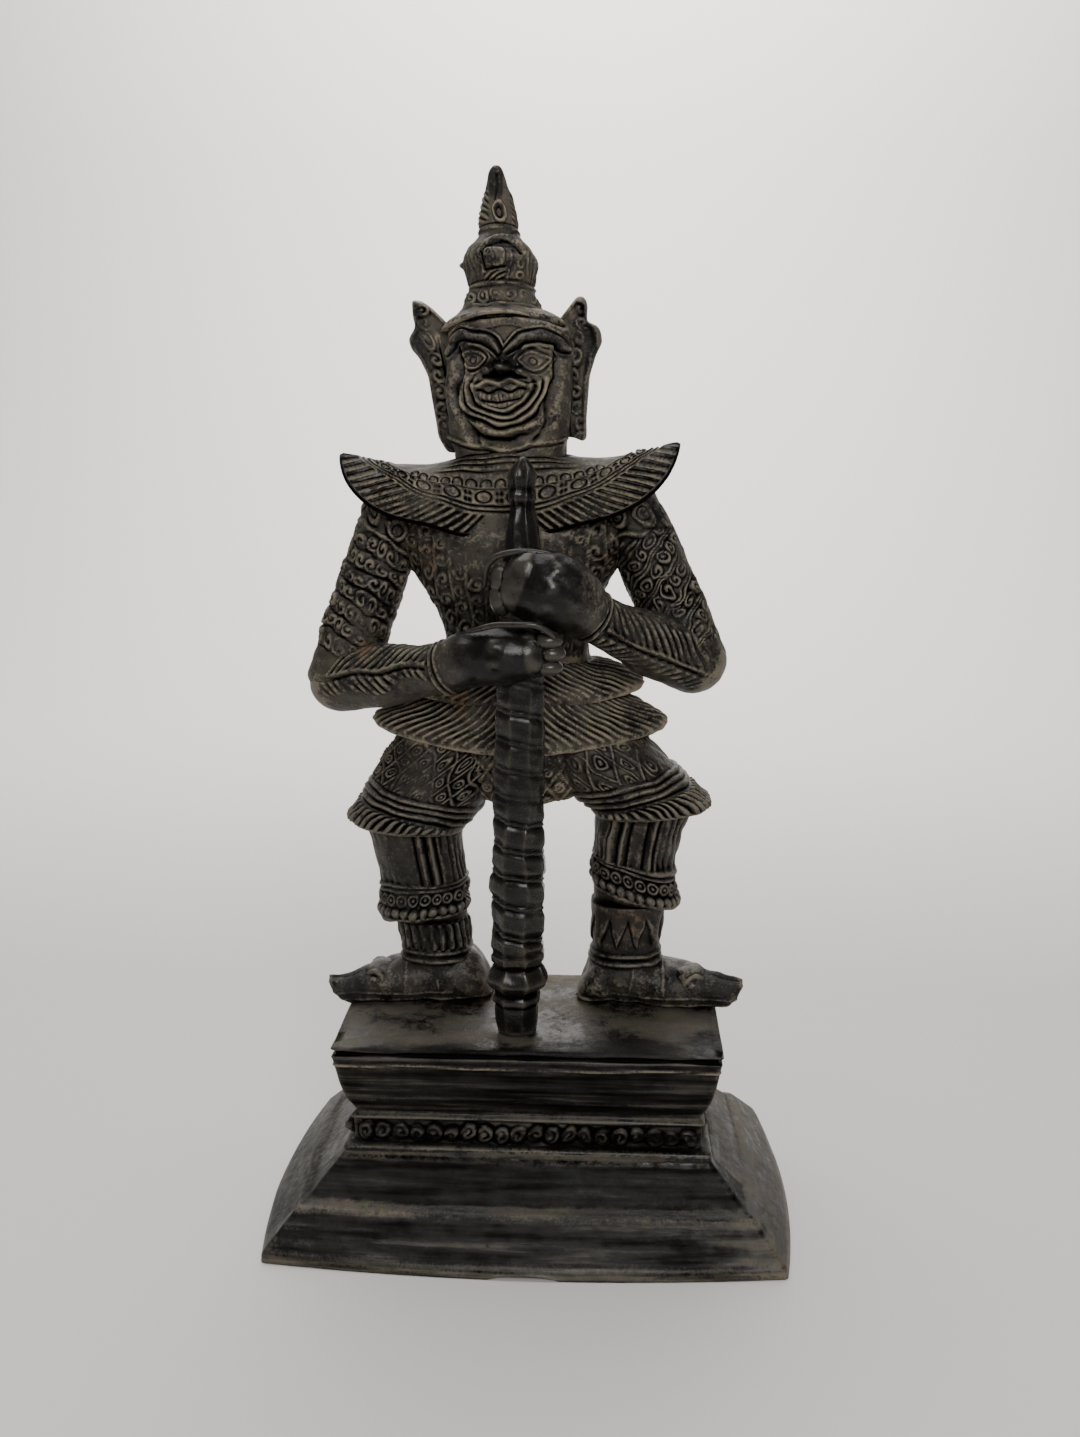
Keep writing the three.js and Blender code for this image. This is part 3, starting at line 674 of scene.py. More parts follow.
def shoe(side):
    """Upright rings from heel to toe, whose middles bend forwards by a power of the share of the
    way, and a knot on the instep: a ball with a scroll on it."""
    leg = LEGS[side]
    heel, toe = leg["heel"], leg["toe"]
    share = np.linspace(0, 1, 110)[:, None]
    sole, top, half = sizes_at(SHOE, share)
    angle = angles(110, 0.2, SHOE_POWER)[None]
    x = heel[0] + (toe[0] - heel[0]) * share
    y = heel[1] + (toe[1] - heel[1]) * share**SHOE_BEND
    middle = (sole + top) / 2 + (toe[2] - SHOE[-1][1]) * share**6
    up, front = superellipse(angle, SHOE_POWER)
    ring = np.broadcast_arrays(x, y - half * front, middle + (top - sole) / 2 * up)
    points = np.stack(ring, axis=-1)
    height = points[..., 2] - PLINTH_TOP
    tread = 0.45 * line(height - 1.4, 0.6)
    tread = tread + 0.35 * line(height - 3.4, 0.5) * smooth(0.1, 0.3, share)
    across = line((share - 0.3 - 0.004 * height) * 45, 0.7) + line((share - 0.52) * 45, 0.7)
    across = 0.25 * across * smooth(3.4, 4, height)
    keel = 0.8 * line(angle - PI / 2, 0.25) * smooth(0.74, 0.86, share)
    relief = tread + across + keel + 0.4 * lumps(points, 5, 11 + side)
    points = relieved(points, relief + 0.2 * lumps(points, 2.2, 15))
    knot_y = heel[1] + (toe[1] - heel[1]) * KNOT_SHARE**SHOE_BEND - 1.2
    knot_at = (heel[0] + (toe[0] - heel[0]) * KNOT_SHARE, knot_y, KNOT_Z)
    knot = ball(knot_at, KNOT_RADII, 36, 52)
    local = knot - np.array(knot_at)
    winding = curl(local[..., 0] - 1.4 * side, local[..., 2] + 0.6, 3, pitch=2.2)
    return points, relieved(knot, 0.9 * winding + 0.3 * lumps(knot, 3, 12 + side))


for side, name in zip(SIDES, ("left_leg", "right_leg")):
    sole, knot = shoe(side)
    cast(name, [sole], [knot], [shin(side)], [thigh(side)])

# %% [markdown]
# ## Hips
# Two pleated flaps ring the hips, each with a point over the hip bone and a droop in front. Their
# pleats fan out from the middle and bend down towards the points.

# %% Hips
# Rows of [z, half width, half depth] up the trunk.
TRUNK = [
    [107, 8, 8], [113, 22, 11.5], [122, 31, 13.2], [132, 25, 12.6], [141, 20.4, 11.8],
    [152, 18.9, 11.2], [159, 20.8, 11.8], [167, 25, 12.8], [180, 32, 13], [188, 32, 11.4],
    [194, 26, 9],
]
TRUNK_POWER = 2.3
HIP_FLAPS = [
    {"top": 137, "tip": 128.4, "top_width": 26, "width": 39.4, "depth": 17.4, "droop": 5},
    {"top": 146, "tip": 139, "top_width": 19.4, "width": 33.4, "depth": 15.4, "droop": 4},
]


def trunk(low, high, rows, columns):
    """Level rings of the trunk from one height to another."""
    z = np.linspace(low, high, rows)[:, None]
    half, depth = sizes_at(TRUNK, z)
    angle = angles(columns, 0.4, TRUNK_POWER)[None]
    return rings(z, lean_x(z), BODY_Y, half, depth, angle, TRUNK_POWER)


def hip_flap(flap):
    """Rings from under the edge to the waist: x = half width * sin^1.25, y = -half depth *
    cos^1.05, and the front and back hang by cos^2. A pleat keeps the value of m + 5 t, m being
    millimetres from the middle along the rim and t the share of the way up."""
    tip, width, depth, droop = flap["tip"], flap["width"], flap["depth"], flap["droop"]
    top, top_width = flap["top"], flap["top_width"]
    keys = [
        [0, tip - 1.2, width - 6, depth - 5, droop],
        [0.14, tip - 0.8, width - 0.6, depth - 0.2, droop],
        [0.2, tip + 0.6, width, depth, droop * 0.94],
        [0.6, (tip + top) / 2 + 0.8, (width + top_width) / 2, depth - 0.9, droop * 0.42],
        [1, top, top_width, depth - 2.6, 0],
    ]
    share = np.linspace(0, 1, 44)[:, None]
    z, half, deep, hang = sizes_at(keys, share)
    angle = angles(380, 0.3)[None]
    x = lean_x(tip) + half * signed_power(np.sin(angle), 1.25)
    y = BODY_Y - deep * signed_power(np.cos(angle), 1.05)
    points = np.dstack([x, y, z - hang * np.cos(angle) ** 2])
    rim = np.abs(around(points)[8])
    climb = np.clip((share - 0.2) / 0.8, 0, 1)
    m = rim - 10 * (1 - climb) ** 1.8 + 0.5 * lumps(points, 5, int(tip))
    m = m + 0.25 * lumps(points, 2, 25)
    crease = line(cell(m, 2.8)[1], 0.85)
    pleats = 0.7 * crease * smooth(0.16, 0.24, share) * (1 - smooth(0.93, 1, share))
    puff = 0.8 * np.sin(PI * climb) ** 0.7
    return relieved(points, pleats * (0.8 + 0.25 * lumps(points, 5, 26)) + puff)


def hip_trunk():
    """The trunk under the flaps, with the trousers' lattice running on over it."""
    points = trunk(107.4, 148, 80, 190)
    z = points[..., 2]
    pattern = 0.6 * lattice(around(points) + 2.5, z - 100, 6.4, 8.8, 1.5)
    pattern = pattern * between(z, 109, 124, 1)
    return relieved(points, pattern + 0.15 * lumps(points, 5, 24))


cast("hips", [hip_trunk()], *([hip_flap(flap)] for flap in HIP_FLAPS))

# %% [markdown]
# ## Chest
# Upright ridges part columns of S-shaped scrolls, with one column of medallions in the middle.

# %% Chest


def chest():
    """Columns of scrolls between upright ridges. Under the collar the front swells to meet its
    rim."""
    points = trunk(140, 193, 108, 250)
    u = around(points)
    z = points[..., 2]
    swell = 4.2 * smooth(30, 8, np.abs(u)) * smooth(156, 175, z)
    points[..., 1] -= swell * smooth(187, 178.5, z)
    u = u + 0.8 * lumps(points, 4, 21) + 0.3 * lumps(points, 1.8, 23)
    v = z + 0.8 * lumps(points, 4, 27)
    number, across = cell(u + 2.2, 4.4)
    row, up = cell(v + 2.4 * (number % 2), 5)
    hand = np.where(chance(number, row) > 0.5, 1, -1)
    scroll = 0.5 * curl(across, up, 2.1, turn=6 * chance(number, row), hand=hand, pitch=1.8)
    medal = 0.7 * rosette(u + 1.2, cell(v, 6)[1], 2.5)
    middle = smooth(2.4, 3, np.abs(u + 1.2))
    height = (scroll + 0.4 * line(2.2 - np.abs(across), 0.6)) * middle + medal * (1 - middle)
    worn = 0.75 * smooth(166, 175, z) * smooth(20, 12, np.abs(u))
    height = 0.8 * height * smooth(146, 150, z) * (1 - worn)
    return relieved(points, height + 0.2 * lumps(points, 6, 22))


cast("chest", [chest()])

# %% [markdown]
# ## The collar
# A feathered cape lies on chest and back and rises to a point over each shoulder. It is a skin from
# the neck to the rim. Rings of ornament follow the neck; past a double ridge, feathers run to the
# rim, curved outwards.

# %% Collar
COLLAR_SPAN = 44.2
COLLAR_TILT = 0.041
COLLAR_TOP = 203.6
COLLAR_COLUMNS = 540
RIM_DEPTH = 16.4
RIM_Z = 180
UNDERSIDE_Z = 178
# Rows of [share of the way out, how much of the climb to a shoulder point is reached].
COLLAR_REACH = [[0, 0.3], [0.62, 0.76], [0.68, 0.79], [0.97, 0.985], [1, 1]]


def collar():
    """The plan runs from the neck's oval to the rim, y = depth (1 - X^2.8)^0.425 at a share X of
    the span. Heights fall from the neck to the rim, and the rim climbs towards the shoulder
    points."""
    share = np.linspace(0, 1, 80)[:, None]
    t = full_turn(COLLAR_COLUMNS)
    angle = (t - 0.25 * np.sin(t))[None]
    side, front = np.sin(angle), np.cos(angle)
    spread = np.abs(side)
    rim_x = COLLAR_SPAN * side
    rim_y = np.sign(front) * RIM_DEPTH * (1 - np.minimum(spread, 0.99999) ** 2.8) ** 0.425
    neck_x, neck_y = 15.2 * side, 12.6 * signed_power(front, 0.85)
    x = neck_x + (rim_x - neck_x) * share**0.95
    y = neck_y + (rim_y - neck_y) * share**0.7
    out = spread**1.5
    across = out * sizes_at(COLLAR_REACH, share)[0]
    top = COLLAR_TOP - 8 * np.tanh(2.4 * across) + 4.2 * across**8
    top = top - 2.9 * np.maximum(front, 0) ** 2 * (1 - share) ** 2
    lifted = np.where(side < 0, 2.6, 1.3) * between(spread, 0.5, 0.85, 0.3)
    rim = RIM_Z + 14 * out**2.6 + 5.5 * out**14 + lifted
    z = top + (rim - top) * share**1.15 + COLLAR_TILT * x
    x0 = lean_x(200) - 0.2
    points = np.dstack([x0 + x, BODY_Y - y, z])
    points = relieved(points, collar_relief(points, share, spread))
    inward = np.linspace(1, 0, 9)[1:-1, None, None]
    rim_ring = points[-1] + np.array([0, 0, -0.6])
    middle = np.array([x0, BODY_Y, UNDERSIDE_Z])
    below = middle + (rim_ring - middle) * inward
    return np.concatenate([points, rim_ring[None], below])


# Where the double ridge lies: rows of [share of the span, share of the way from neck to rim].
RIDGE = [
    [0, 0.79], [0.17, 0.77], [0.35, 0.72], [0.52, 0.65], [0.7, 0.59], [0.87, 0.55],
    [0.93, 0.57], [0.975, 0.64], [1, 0.78],
]
NECK_RINGS = (0.07, 0.2, 0.31, 0.44)


def collar_relief(points, share, spread):
    """Heights on the collar. b is the share of the way from the neck to the ridge. `rise` is in
    millimetres above the row of scallops, `fall` in millimetres below the row of ovals."""
    shake = lumps(points, 6, 31)
    arc = around(points)
    rim_arc = np.abs(arc[-1:])
    ridge = table(RIDGE)(spread[0])[0][None]
    b = share / ridge + 0.012 * shake
    down = np.linalg.norm(np.diff(points, axis=0, prepend=points[:1]), axis=-1).cumsum(0)
    ridge_row = np.round(ridge[0] * (len(points) - 1)).astype(int)
    reach = down[ridge_row, np.arange(points.shape[1])][None]
    neck_rings = sum(0.65 * line(b - at, 0.055) for at in NECK_RINGS) * smooth(0.9, 0.5, spread)
    across = cell(arc + 0.3 * shake, 3.4)[1]
    rise = (0.64 - b) * reach
    scallop = line(np.hypot(across, np.maximum(rise, 0) * 1.1) - 1.25, 0.55) * (rise > -0.7)
    across = cell(arc + 1.5, 8)[1]
    fall = (b - 0.82) * reach
    oval = line(np.hypot(across / 2.0, fall / 1.25) - 1, 0.3)
    knobs = dome(np.hypot(np.abs(across) - 3.6, np.abs(fall) - 0.8), 0.75)
    band = 0.6 * scallop * (1 - smooth(0.9, 0.96, spread))
    band = band + 0.7 * np.maximum(oval, knobs) * between(b, 0.73, 0.91, 0.02)
    rims = 0.5 * line(b - 0.71, 0.03) + 0.8 * line(b - 0.945, 0.04) + 0.65 * line(b - 1.01, 0.035)
    beta = np.clip((share - ridge) / (1 - ridge), 0, 1)
    slide = 5.5 * (1 - smooth(0.6, 0.98, spread)) - 3 * smooth(0.9, 1, spread)
    q = rim_arc + slide * (1 - beta) + 0.35 * shake
    plume = smooth(-0.55, 0.1, waves(q, 2.7)) * smooth(1.03, 1.09, b)
    plume = plume * smooth(9.6, 10.8, q) * (1 - smooth(0.9, 0.95, beta))
    hem = 0.45 * line(beta - 0.97, 0.08) * smooth(8, 14, rim_arc)
    return neck_rings + band + rims + 0.65 * plume + hem + 0.15 * shake


cast("collar", [collar()])

# %% [markdown]
# ## Arms and fists
# Sleeves cover both arms: scrolls in sloping rows on one, and on the other slanted bands of scrolls
# and flowers. Petals edge the shoulders, and herringbone strokes cover the forearms. The fists are
# plain and worn smooth, one above the other on the club.

# %% Arm sizes
# Finger rows are [x, y, z, and three radii].
ARMS = {
    -1: {
        "shoulder": (-36, 12, 186),
        "elbow": (-52, 10, 140.2),
        "wrist": (-22.5, -7.5, 146),
        "midrib": 2,
        "lower_strokes": 4,
        "stroke": 0.55,
        "hand": [(-10, -15.2, 150.6), (0.5, -17, 151.6)],
        "hand_rows": [[0, 6, 5.6], [0.45, 7.3, 7], [0.8, 7.6, 7.2], [1, 6.6, 6.2]],
        "top_line": [
            (-14, -19.4, 157.2), (-6, -22, 159.2), (1, -23.2, 159.4), (5.4, -22.4, 157.6),
            (7.8, -19.5, 154),
        ],
        "fingers": [
            [5.2, -19.6, 155, 3.6, 2.8, 2.1],
            [6, -19.2, 151.8, 3.6, 2.9, 2.2],
            [5.4, -19.2, 148.4, 3.6, 2.9, 2.1],
        ],
    },
    1: {
        "shoulder": (24, 12, 187),
        "elbow": (42.6, 10, 145.8),
        "wrist": (16, -8.5, 159.6),
        "midrib": 0,
        "lower_strokes": 6,
        "stroke": 0.4,
        "hand": [(8.5, -15.5, 165.6), (-0.8, -16.8, 168.9)],
        "hand_rows": [[0, 6.2, 5.8], [0.4, 8.8, 7.8], [0.75, 9.6, 8.2], [1, 8.6, 6.4]],
        "top_line": [
            (-10.6, -13.5, 167.8), (-9.8, -15.5, 172.4), (-7, -17.5, 175.4), (-1, -19, 176.6),
            (4.6, -19, 176), (8.6, -17.8, 173.4), (13, -15.6, 168.8), (16.6, -13, 164),
        ],
        "fingers": [
            [-6.2, -15, 169.4, 3, 4.6, 4.6],
            [-6.4, -15, 164.8, 3, 4.6, 4.4],
        ],
    },
}
# Rows of [share of the way, half height, half thickness].
UPPER_ARM = [[0, 8, 10], [0.3, 8.6, 9.9], [0.7, 8.8, 9.2], [1, 8.6, 8.8]]
FOREARM = [[0, 8.8, 8.6], [0.35, 8.6, 7.8], [0.8, 6.4, 6.2], [1, 6.6, 6.2]]
TOP_LINE = [[0, 0.5, 0.6], [0.2, 0.8, 0.8], [0.8, 0.8, 0.8], [1, 0.5, 0.6]]
CUFF_REACH = 0.3
BAND_SLOPE = 0.6


def sloping_scrolls(u, v):
    """Rows of scrolls that fall to the right, and 1 where they cover the sleeve."""
    row, down = cell(v - 0.2 * u - 8.9, 4.7)
    number, across = cell(u + 1.6 * (row % 2), 3.3)
    hand = np.where(chance(number, row) > 0.5, 1, -1)
    pattern = curl(across, down, 2.0, turn=4 * chance(row, number), hand=hand, pitch=1.9)
    pattern = 0.7 * pattern - 0.3 * line(2.3 - np.abs(down), 0.5)
    return pattern, smooth(8.9, 9.7, v - 0.2 * u) * (1 - smooth(40, 41.5, v))


def slanted_bands(u, v):
    """Bands that climb to the right, with a scroll or a flower in each cell, and 1 where they
    lie."""
    slope = np.hypot(1, BAND_SLOPE)
    row, down = cell((v + BAND_SLOPE * u) / slope - 2, 5.7)
    number, across = cell((u - BAND_SLOPE * v) / slope + 2 * row, 3.9)
    edge = 2.85 - np.abs(down)
    scroll = curl(across, down, 2.0, turn=5 * chance(number, row), pitch=1.7)
    flower = rosette(across, down, 1.8)
    flowers = np.where(chance(number, row) > 0.45, scroll, flower) * smooth(0.7, 1, edge)
    pattern = 0.75 * np.maximum(0.8 * line(edge - 0.45, 0.45), flowers)
    return pattern, smooth(9, 10, v) * (1 - smooth(41, 42, v))


def sleeve(side):
    """The upper arm. u is to the right and v down the arm, in millimetres. Above the pattern a row
    of petals stands on a slanting line."""
    path = [ARMS[side]["shoulder"], ARMS[side]["elbow"]]
    points, _, v = limb(path, UPPER_ARM, 112, angles(150, 0.35), cap=0.65)
    u = -around(points)
    facing = 0.35 + 0.65 * smooth(14, 8, np.abs(u))
    u = u + 0.7 * lumps(points, 3.6, 41 + side) + 0.42 * lumps(points, 1.7, 55 + side)
    v = v + 0.7 * lumps(points, 3.6, 43 + side) + 0.42 * lumps(points, 1.7, 57 + side)
    pattern, covered = sloping_scrolls(u, v) if side < 0 else slanted_bands(u, v)
    r = np.hypot(cell(u, 7)[1] / 3.1, (v - 0.25 * u - 4) / 3.6)
    petal = smooth(1, 0.75, r) - 0.5 * line(r - 0.45, 0.16)
    heads = 0.85 * petal + 0.6 * line(v - 0.25 * u - 8.5, 0.7)
    pattern = pattern * (0.8 + 0.3 * lumps(points, 2.5, 60))
    relief = (pattern * covered + heads * (1 - covered)) * facing
    return relieved(points, relief + 0.15 * lumps(points, 4, 45))


def cuff(side):
    """The forearm. u is upwards and v along from the elbow; strokes meet at a midrib."""
    arm = ARMS[side]
    wrist, palm = np.array(arm["wrist"]), np.array(arm["hand"][0])
    path = [arm["elbow"], wrist, wrist + (palm - wrist) * CUFF_REACH]
    points, _, v = limb(path, FOREARM, 110, angles(140, 0.35), (-0.3, -1, 0), 0.9)
    u = side * around(points) + 0.6 * lumps(points, 4.5, 47 + side) - arm["midrib"]
    length = v[-1 - END_RINGS]
    wave = v - 0.9 * np.abs(u) + 0.6 * lumps(points, 3.5, 53 + side)
    reach = np.where(u > 0, 9, arm["lower_strokes"]) + 1.5 * lumps(points, 4, 58)
    strokes = smooth(-0.5, 0.5, waves(wave, 2.6)) * between(np.abs(u), 1.1, reach, 0.9)
    strokes = strokes * (0.75 + 0.25 * lumps(points, 3, 59))
    ring = line(v - (length - 3.2), 0.7) + line(v - (length - 1.2), 0.8)
    inside = smooth(-2, 5, v) * (1 - smooth(length - 5.2, length - 4.6, v))
    midrib = 0.6 * line(u - 0.5, 0.8) - 0.75 * line(u + 0.8, 0.8)
    height = (arm["stroke"] * strokes + midrib) * inside + 0.55 * ring
    return relieved(points, height + 0.15 * lumps(points, 4, 49))


def fist(side):
    """The worn back of a hand, a raised line along its top, and finger ends in pairs."""
    arm = ARMS[side]
    path = [arm["wrist"], *arm["hand"]]
    back, share, _ = limb(path, arm["hand_rows"], 70, angles(100, 0.2), (-0.2, -1, 0), 0.9)
    knuckles = 0.5 * line(share - 0.72, 0.1) * line(cell(back[..., 2], 4.6)[1], 2.3)
    uneven = 0.3 * lumps(back, 5, 51 + side) + 0.06 * lumps(back, 2, 52)
    back = relieved(back, uneven + knuckles)
    top_line, _, _ = limb(arm["top_line"], TOP_LINE, 90, angles(16, 0), (0, -1, 0.01))
    fingers = [ball((x, y, z), radii, 12, 18) for x, y, z, *radii in arm["fingers"]]
    return back, top_line, fingers[::2], fingers[1::2]


for side, name in zip(SIDES, ("left_arm", "right_arm")):
    back, top_line, odd, even = fist(side)
    cast(name, [sleeve(side)], [cuff(side)], [back], [top_line], odd, even)

# %% [markdown]
# ## The mask
# A scowling demon's mask, turned a little to the left. Everything on it is a height above or below
# the rounded block of the head: lens-shaped brows, almond eyes, a broad nose, a wide grin with
# folds round it, and deep creases by the cheeks and the chin.

# %% Curves on the mask


def along_curve(x, z, keys):
    """Distance to a smooth curve through key points, and the share of the way along it."""
    run = run_along(keys)
    share = np.linspace(0, 1, 80)
    curve = table(np.column_stack([run / run[-1], keys]))(share)
    gap = np.hypot(x[..., None] - curve[0], z[..., None] - curve[1])
    nearest = gap.argmin(-1)
    return np.take_along_axis(gap, nearest[..., None], -1)[..., 0], share[nearest]


# %% Mask
HEAD_Y = 10
HEAD_MIDDLE = -5.8
HEAD_TURN = np.radians(-7)
HEAD_POWER = 2.5
# Rows of [height, half width, half depth].
HEAD = [
    [196, 14, 11], [202, 14.4, 12], [207, 15.2, 13], [214, 16, 13.6], [222, 16, 13.6],
    [229, 15.4, 13], [231.4, 14.6, 12.7], [233, 13, 12.3], [234.8, 9.4, 10.4],
]
MASK_X = 1.05
EYE = (7.9, 222.4)
BROW = [(0.8, 223.6), (2.8, 225.9), (5.2, 227.7), (9, 228.3), (12.6, 226.9), (13.9, 224.2)]
LIP = [(0, 216.3), (2.6, 217), (5.2, 216.2), (7.4, 215.8)]
# Deep creases by both cheeks, by the mouth's left and under the chin, as points across and up.
CREASES = [
    [(12.6, 217.5), (11.9, 214), (10.6, 210.8), (8.2, 208.6)],
    [(-12.6, 225.5), (-12.1, 220), (-11.4, 214.5)],
    [(-9.4, 216.2), (-8.8, 213.6), (-7.4, 211.6)],
    [(-9.5, 204.8), (-5, 203.3), (1, 202.8), (7, 203.4), (11, 205)],
]
# Rows of [distance from the mouth's middle, height or depth, width] of the folds round the mouth
# and of the furrows between them.
FOLDS = [[5.8, 0.6, 0.7], [7.6, 1.2, 0.95], [9.15, 1.4, 1.05], [11.3, 0.7, 1.1]]
FURROWS = [[6.7, 0.7, 0.6], [8.35, 0.5, 0.45], [10.35, 1.2, 0.85], [13.0, 1.3, 1.2]]


def almond(x, z, half_x, half_z):
    """Millimetres off the edge of an almond, less than 0 inside it: half |z| / h - (1 - (x / w)^2)
    and half the same of an ellipse."""
    pointed = np.abs(z) / half_z - (1 - (x / half_x) ** 2)
    return half_z * (0.5 * pointed + 0.5 * (np.hypot(x / half_x, z / half_z) - 1))


def blended(first, second, soft=0.5):
    """The larger of two heights, with a soft bend: half of a + b - s + root((a - b)^2 + s^2)."""
    return (first + second + np.sqrt((first - second) ** 2 + soft**2) - soft) / 2


def eyes_and_brows(ax, z):
    """A lens-shaped brow between two thin lines, and an eyeball in lids with a fold round them."""
    brow, share = along_curve(ax, z, BROW)
    swell = 1.6 * np.sin(PI * (0.08 + 0.84 * share)) ** 0.6
    height = 1.7 * np.clip(1 - (brow / swell) ** 2, 0, 1)
    height = height + 0.6 * line(brow - 0.6 - swell, 0.5) - 0.5 * line(brow - swell, 0.4)
    height = height - 0.8 * (1 - smooth(0.6, 1.1, np.hypot((ax - 8) / 5.4, (z - 222.3) / 3.8)))
    eye_x, eye_z = ax - EYE[0], z - EYE[1]
    lid = almond(eye_x, eye_z, 3.2, 1.9)
    height = height + 1.2 * dome(np.hypot(eye_x / 3, eye_z / 1.8), 1)
    height = height + 1.2 * line(lid - 0.25, 0.65) + 0.6 * line(lid - 1.5, 0.5)
    height = height - 0.4 * line(lid - 0.9, 0.35)
    return height - 0.55 * line(np.hypot(eye_x, eye_z) - 0.95, 0.45)


def nose(x, ax, z):
    """A low bridge, a broad tip and two wings that run into each other."""
    tip = 3.3 * smooth(1.15, 0.1, np.hypot(x / 3.2, (z - 220.2) / 2.2))
    wings = 2.0 * smooth(1.2, 0.2, np.hypot((ax - 4.1) / 2.3, (z - 219.4) / 1.6))
    bridge = 1.2 * line(x, 2.6) * between(z, 220.5, 223.2, 1.8)
    return blended(blended(tip, wings, 0.7), bridge, 0.7)


def round_mouth(rows, ring, fade):
    """One rounded line for each row, at its distance from the mouth's middle."""
    return sum(tall * line(ring - at, width) * left for (at, tall, width), left in zip(rows, fade))


def mouth(x, ax, z):
    """A wavy lip with a curl at each end, two rows of teeth, and ridges and furrows round them."""
    lip, _ = along_curve(ax, z, LIP)
    height = 1.0 * line(lip, 1.0) + 0.8 * curl(ax - 7.6, z - 215.4, 1.7, hand=-1, pitch=1.8)
    ring = np.hypot(x / 1.17, z - 216)
    inside = (1 - smooth(4.8, 5.4, ring)) * smooth(215.4, 214.9, z)
    edge = z - 214.8 - 0.35 * waves(x, 5)
    height = height - 1.1 * line(edge, 0.55) * (1 - smooth(5.4, 6.2, ax))
    bend = 0.02 * x * x
    wobble = 0.9 * np.sin(1.9 * x) * np.sin(0.7 * x + 1)
    upper = dome(np.hypot(cell(x + wobble, 1.7)[1] / 0.85, (z - 213.3 - bend) / 1.0), 1)
    lower = dome(np.hypot(cell(x + 0.7 - wobble, 1.9)[1] / 0.95, (z - 211.2 - bend) / 0.9), 1)
    height = height + (0.6 * upper + 0.4 * lower - 0.5 * line(z - 212.2 - bend, 0.45)) * inside
    below = 1 - smooth(215.5, 219.5, z)
    fade = [1, 1, 1, 1 - smooth(7, 12, ax)]
    return height + (round_mouth(FOLDS, ring, fade) - round_mouth(FURROWS, ring, fade)) * below


def mask_relief(x, z):
    """Heights on the mask at x right of its middle line."""
    x = x - MASK_X
    ax = np.abs(x)
    height = blended(eyes_and_brows(np.abs(x + 0.5), z), nose(x, ax, z), 0.4)
    height = height - 1.7 * line(np.hypot((ax - 2.1) / 1.3, z - 218.7), 1.0)
    height = height - 0.7 * line(z - 218.1, 0.5) * (1 - smooth(5, 6, ax))
    height = height + 0.85 * mouth(x + 0.9, np.abs(x + 0.9), z)
    height = height + 0.7 * line(np.hypot((ax - 9.6) / 1.2, z - 217.6), 2.2)
    edge = 12.4 - 0.028 * np.maximum(216 - z, 0) ** 2
    flap = 0.9 * smooth(edge, edge + 1.4, ax) * (1 - smooth(15, 16, ax))
    flap = flap - 0.9 * line(ax - edge + 0.5, 1.0)
    height = height + flap * between(z, 203, 224, 3)
    for curve in CREASES:
        away, share = along_curve(x, z, curve)
        height = height - 1.3 * np.sqrt(np.sin(PI * (0.05 + 0.9 * share))) * line(away, 1.5)
    rise = 0.012 * x * x
    return height + 0.6 * line(z - 201 - rise, 0.8) - 0.5 * line(z - 199.9 - rise, 0.5)


def headband(x, z):
    """A smooth band under the crown's brim, which casts a dark line."""
    edge = 233.2 - 0.0105 * (x - 0.6) ** 2
    return 0.35 * between(edge - z, 1.2, 2.8) - 1.5 * line(edge - z, 0.9)


def head():
    """Level rings of the head's block. Its front half gets the relief, then the whole is turned."""
    z = np.arange(HEAD[0][0], HEAD[-1][0] + 0.1, 0.26)[:, None]
    half, depth = sizes_at(HEAD, z)
    points = rings(z, 0, 0, half, depth, angles(260, 0.5, HEAD_POWER)[None], HEAD_POWER)
    x = points[..., 0] + 0.45 * lumps(points, 4.5, 61) + 0.2 * lumps(points, 1.7, 63)
    height = points[..., 2] + 0.4 * lumps(points, 4.5, 62) + 0.22 * lumps(points, 1.7, 64)
    front = smooth(0, -5, points[..., 1])
    points = relieved(points, (mask_relief(x, height) + headband(x, height)) * front)
    cos, sin = np.cos(HEAD_TURN), np.sin(HEAD_TURN)
    x, y = points[..., 0], points[..., 1]
    turned_x = HEAD_MIDDLE + cos * x - sin * y
    return np.dstack([turned_x, HEAD_Y + sin * x + cos * y, points[..., 2]])


# %% [markdown]
# ## Ear plates and crown
# A flame-shaped plate stands at each side of the head. Above the headband the crown narrows through
# a ring of scrolls, then a bulging tier with a niche, to a leafy spire.

# %% Ear plates
EAR_RINGS = 34
# Outline points: millimetres out from the plates' middle line, and height.
EAR_OUTLINES = {
    -1: [
        (13, 199.5), (17.4, 199.9), (19.3, 203.8), (19.4, 206.8), (19.9, 213.7), (20.2, 219),
        (22, 223.6), (23.7, 225.5), (24.3, 228.2), (22.1, 231.2), (22.5, 234), (22.3, 237.9),
        (19.8, 237.6), (17.5, 236), (15, 233.4), (11, 229), (11, 204),
    ],
    1: [
        (15.9, 203.6), (18.1, 202.5), (19.1, 203.6), (19.4, 208.2), (20.3, 213.5),
        (21.2, 218.9), (23.3, 224.2), (25.2, 227.3), (25, 230), (24.4, 231.3), (22.9, 231.9),
        (21.7, 232.4), (21.9, 234.2), (22.3, 236.2), (21.9, 238), (20.9, 238.7), (19.6, 238.4),
        (18.2, 236.8), (16.3, 234.7), (13, 231), (11, 226), (11, 204),
    ],
}


def ear_x(z):
    """The plates' middle line leans a little more than the body does."""
    return lean_x(z) + 0.9 - (z - 205) / 16


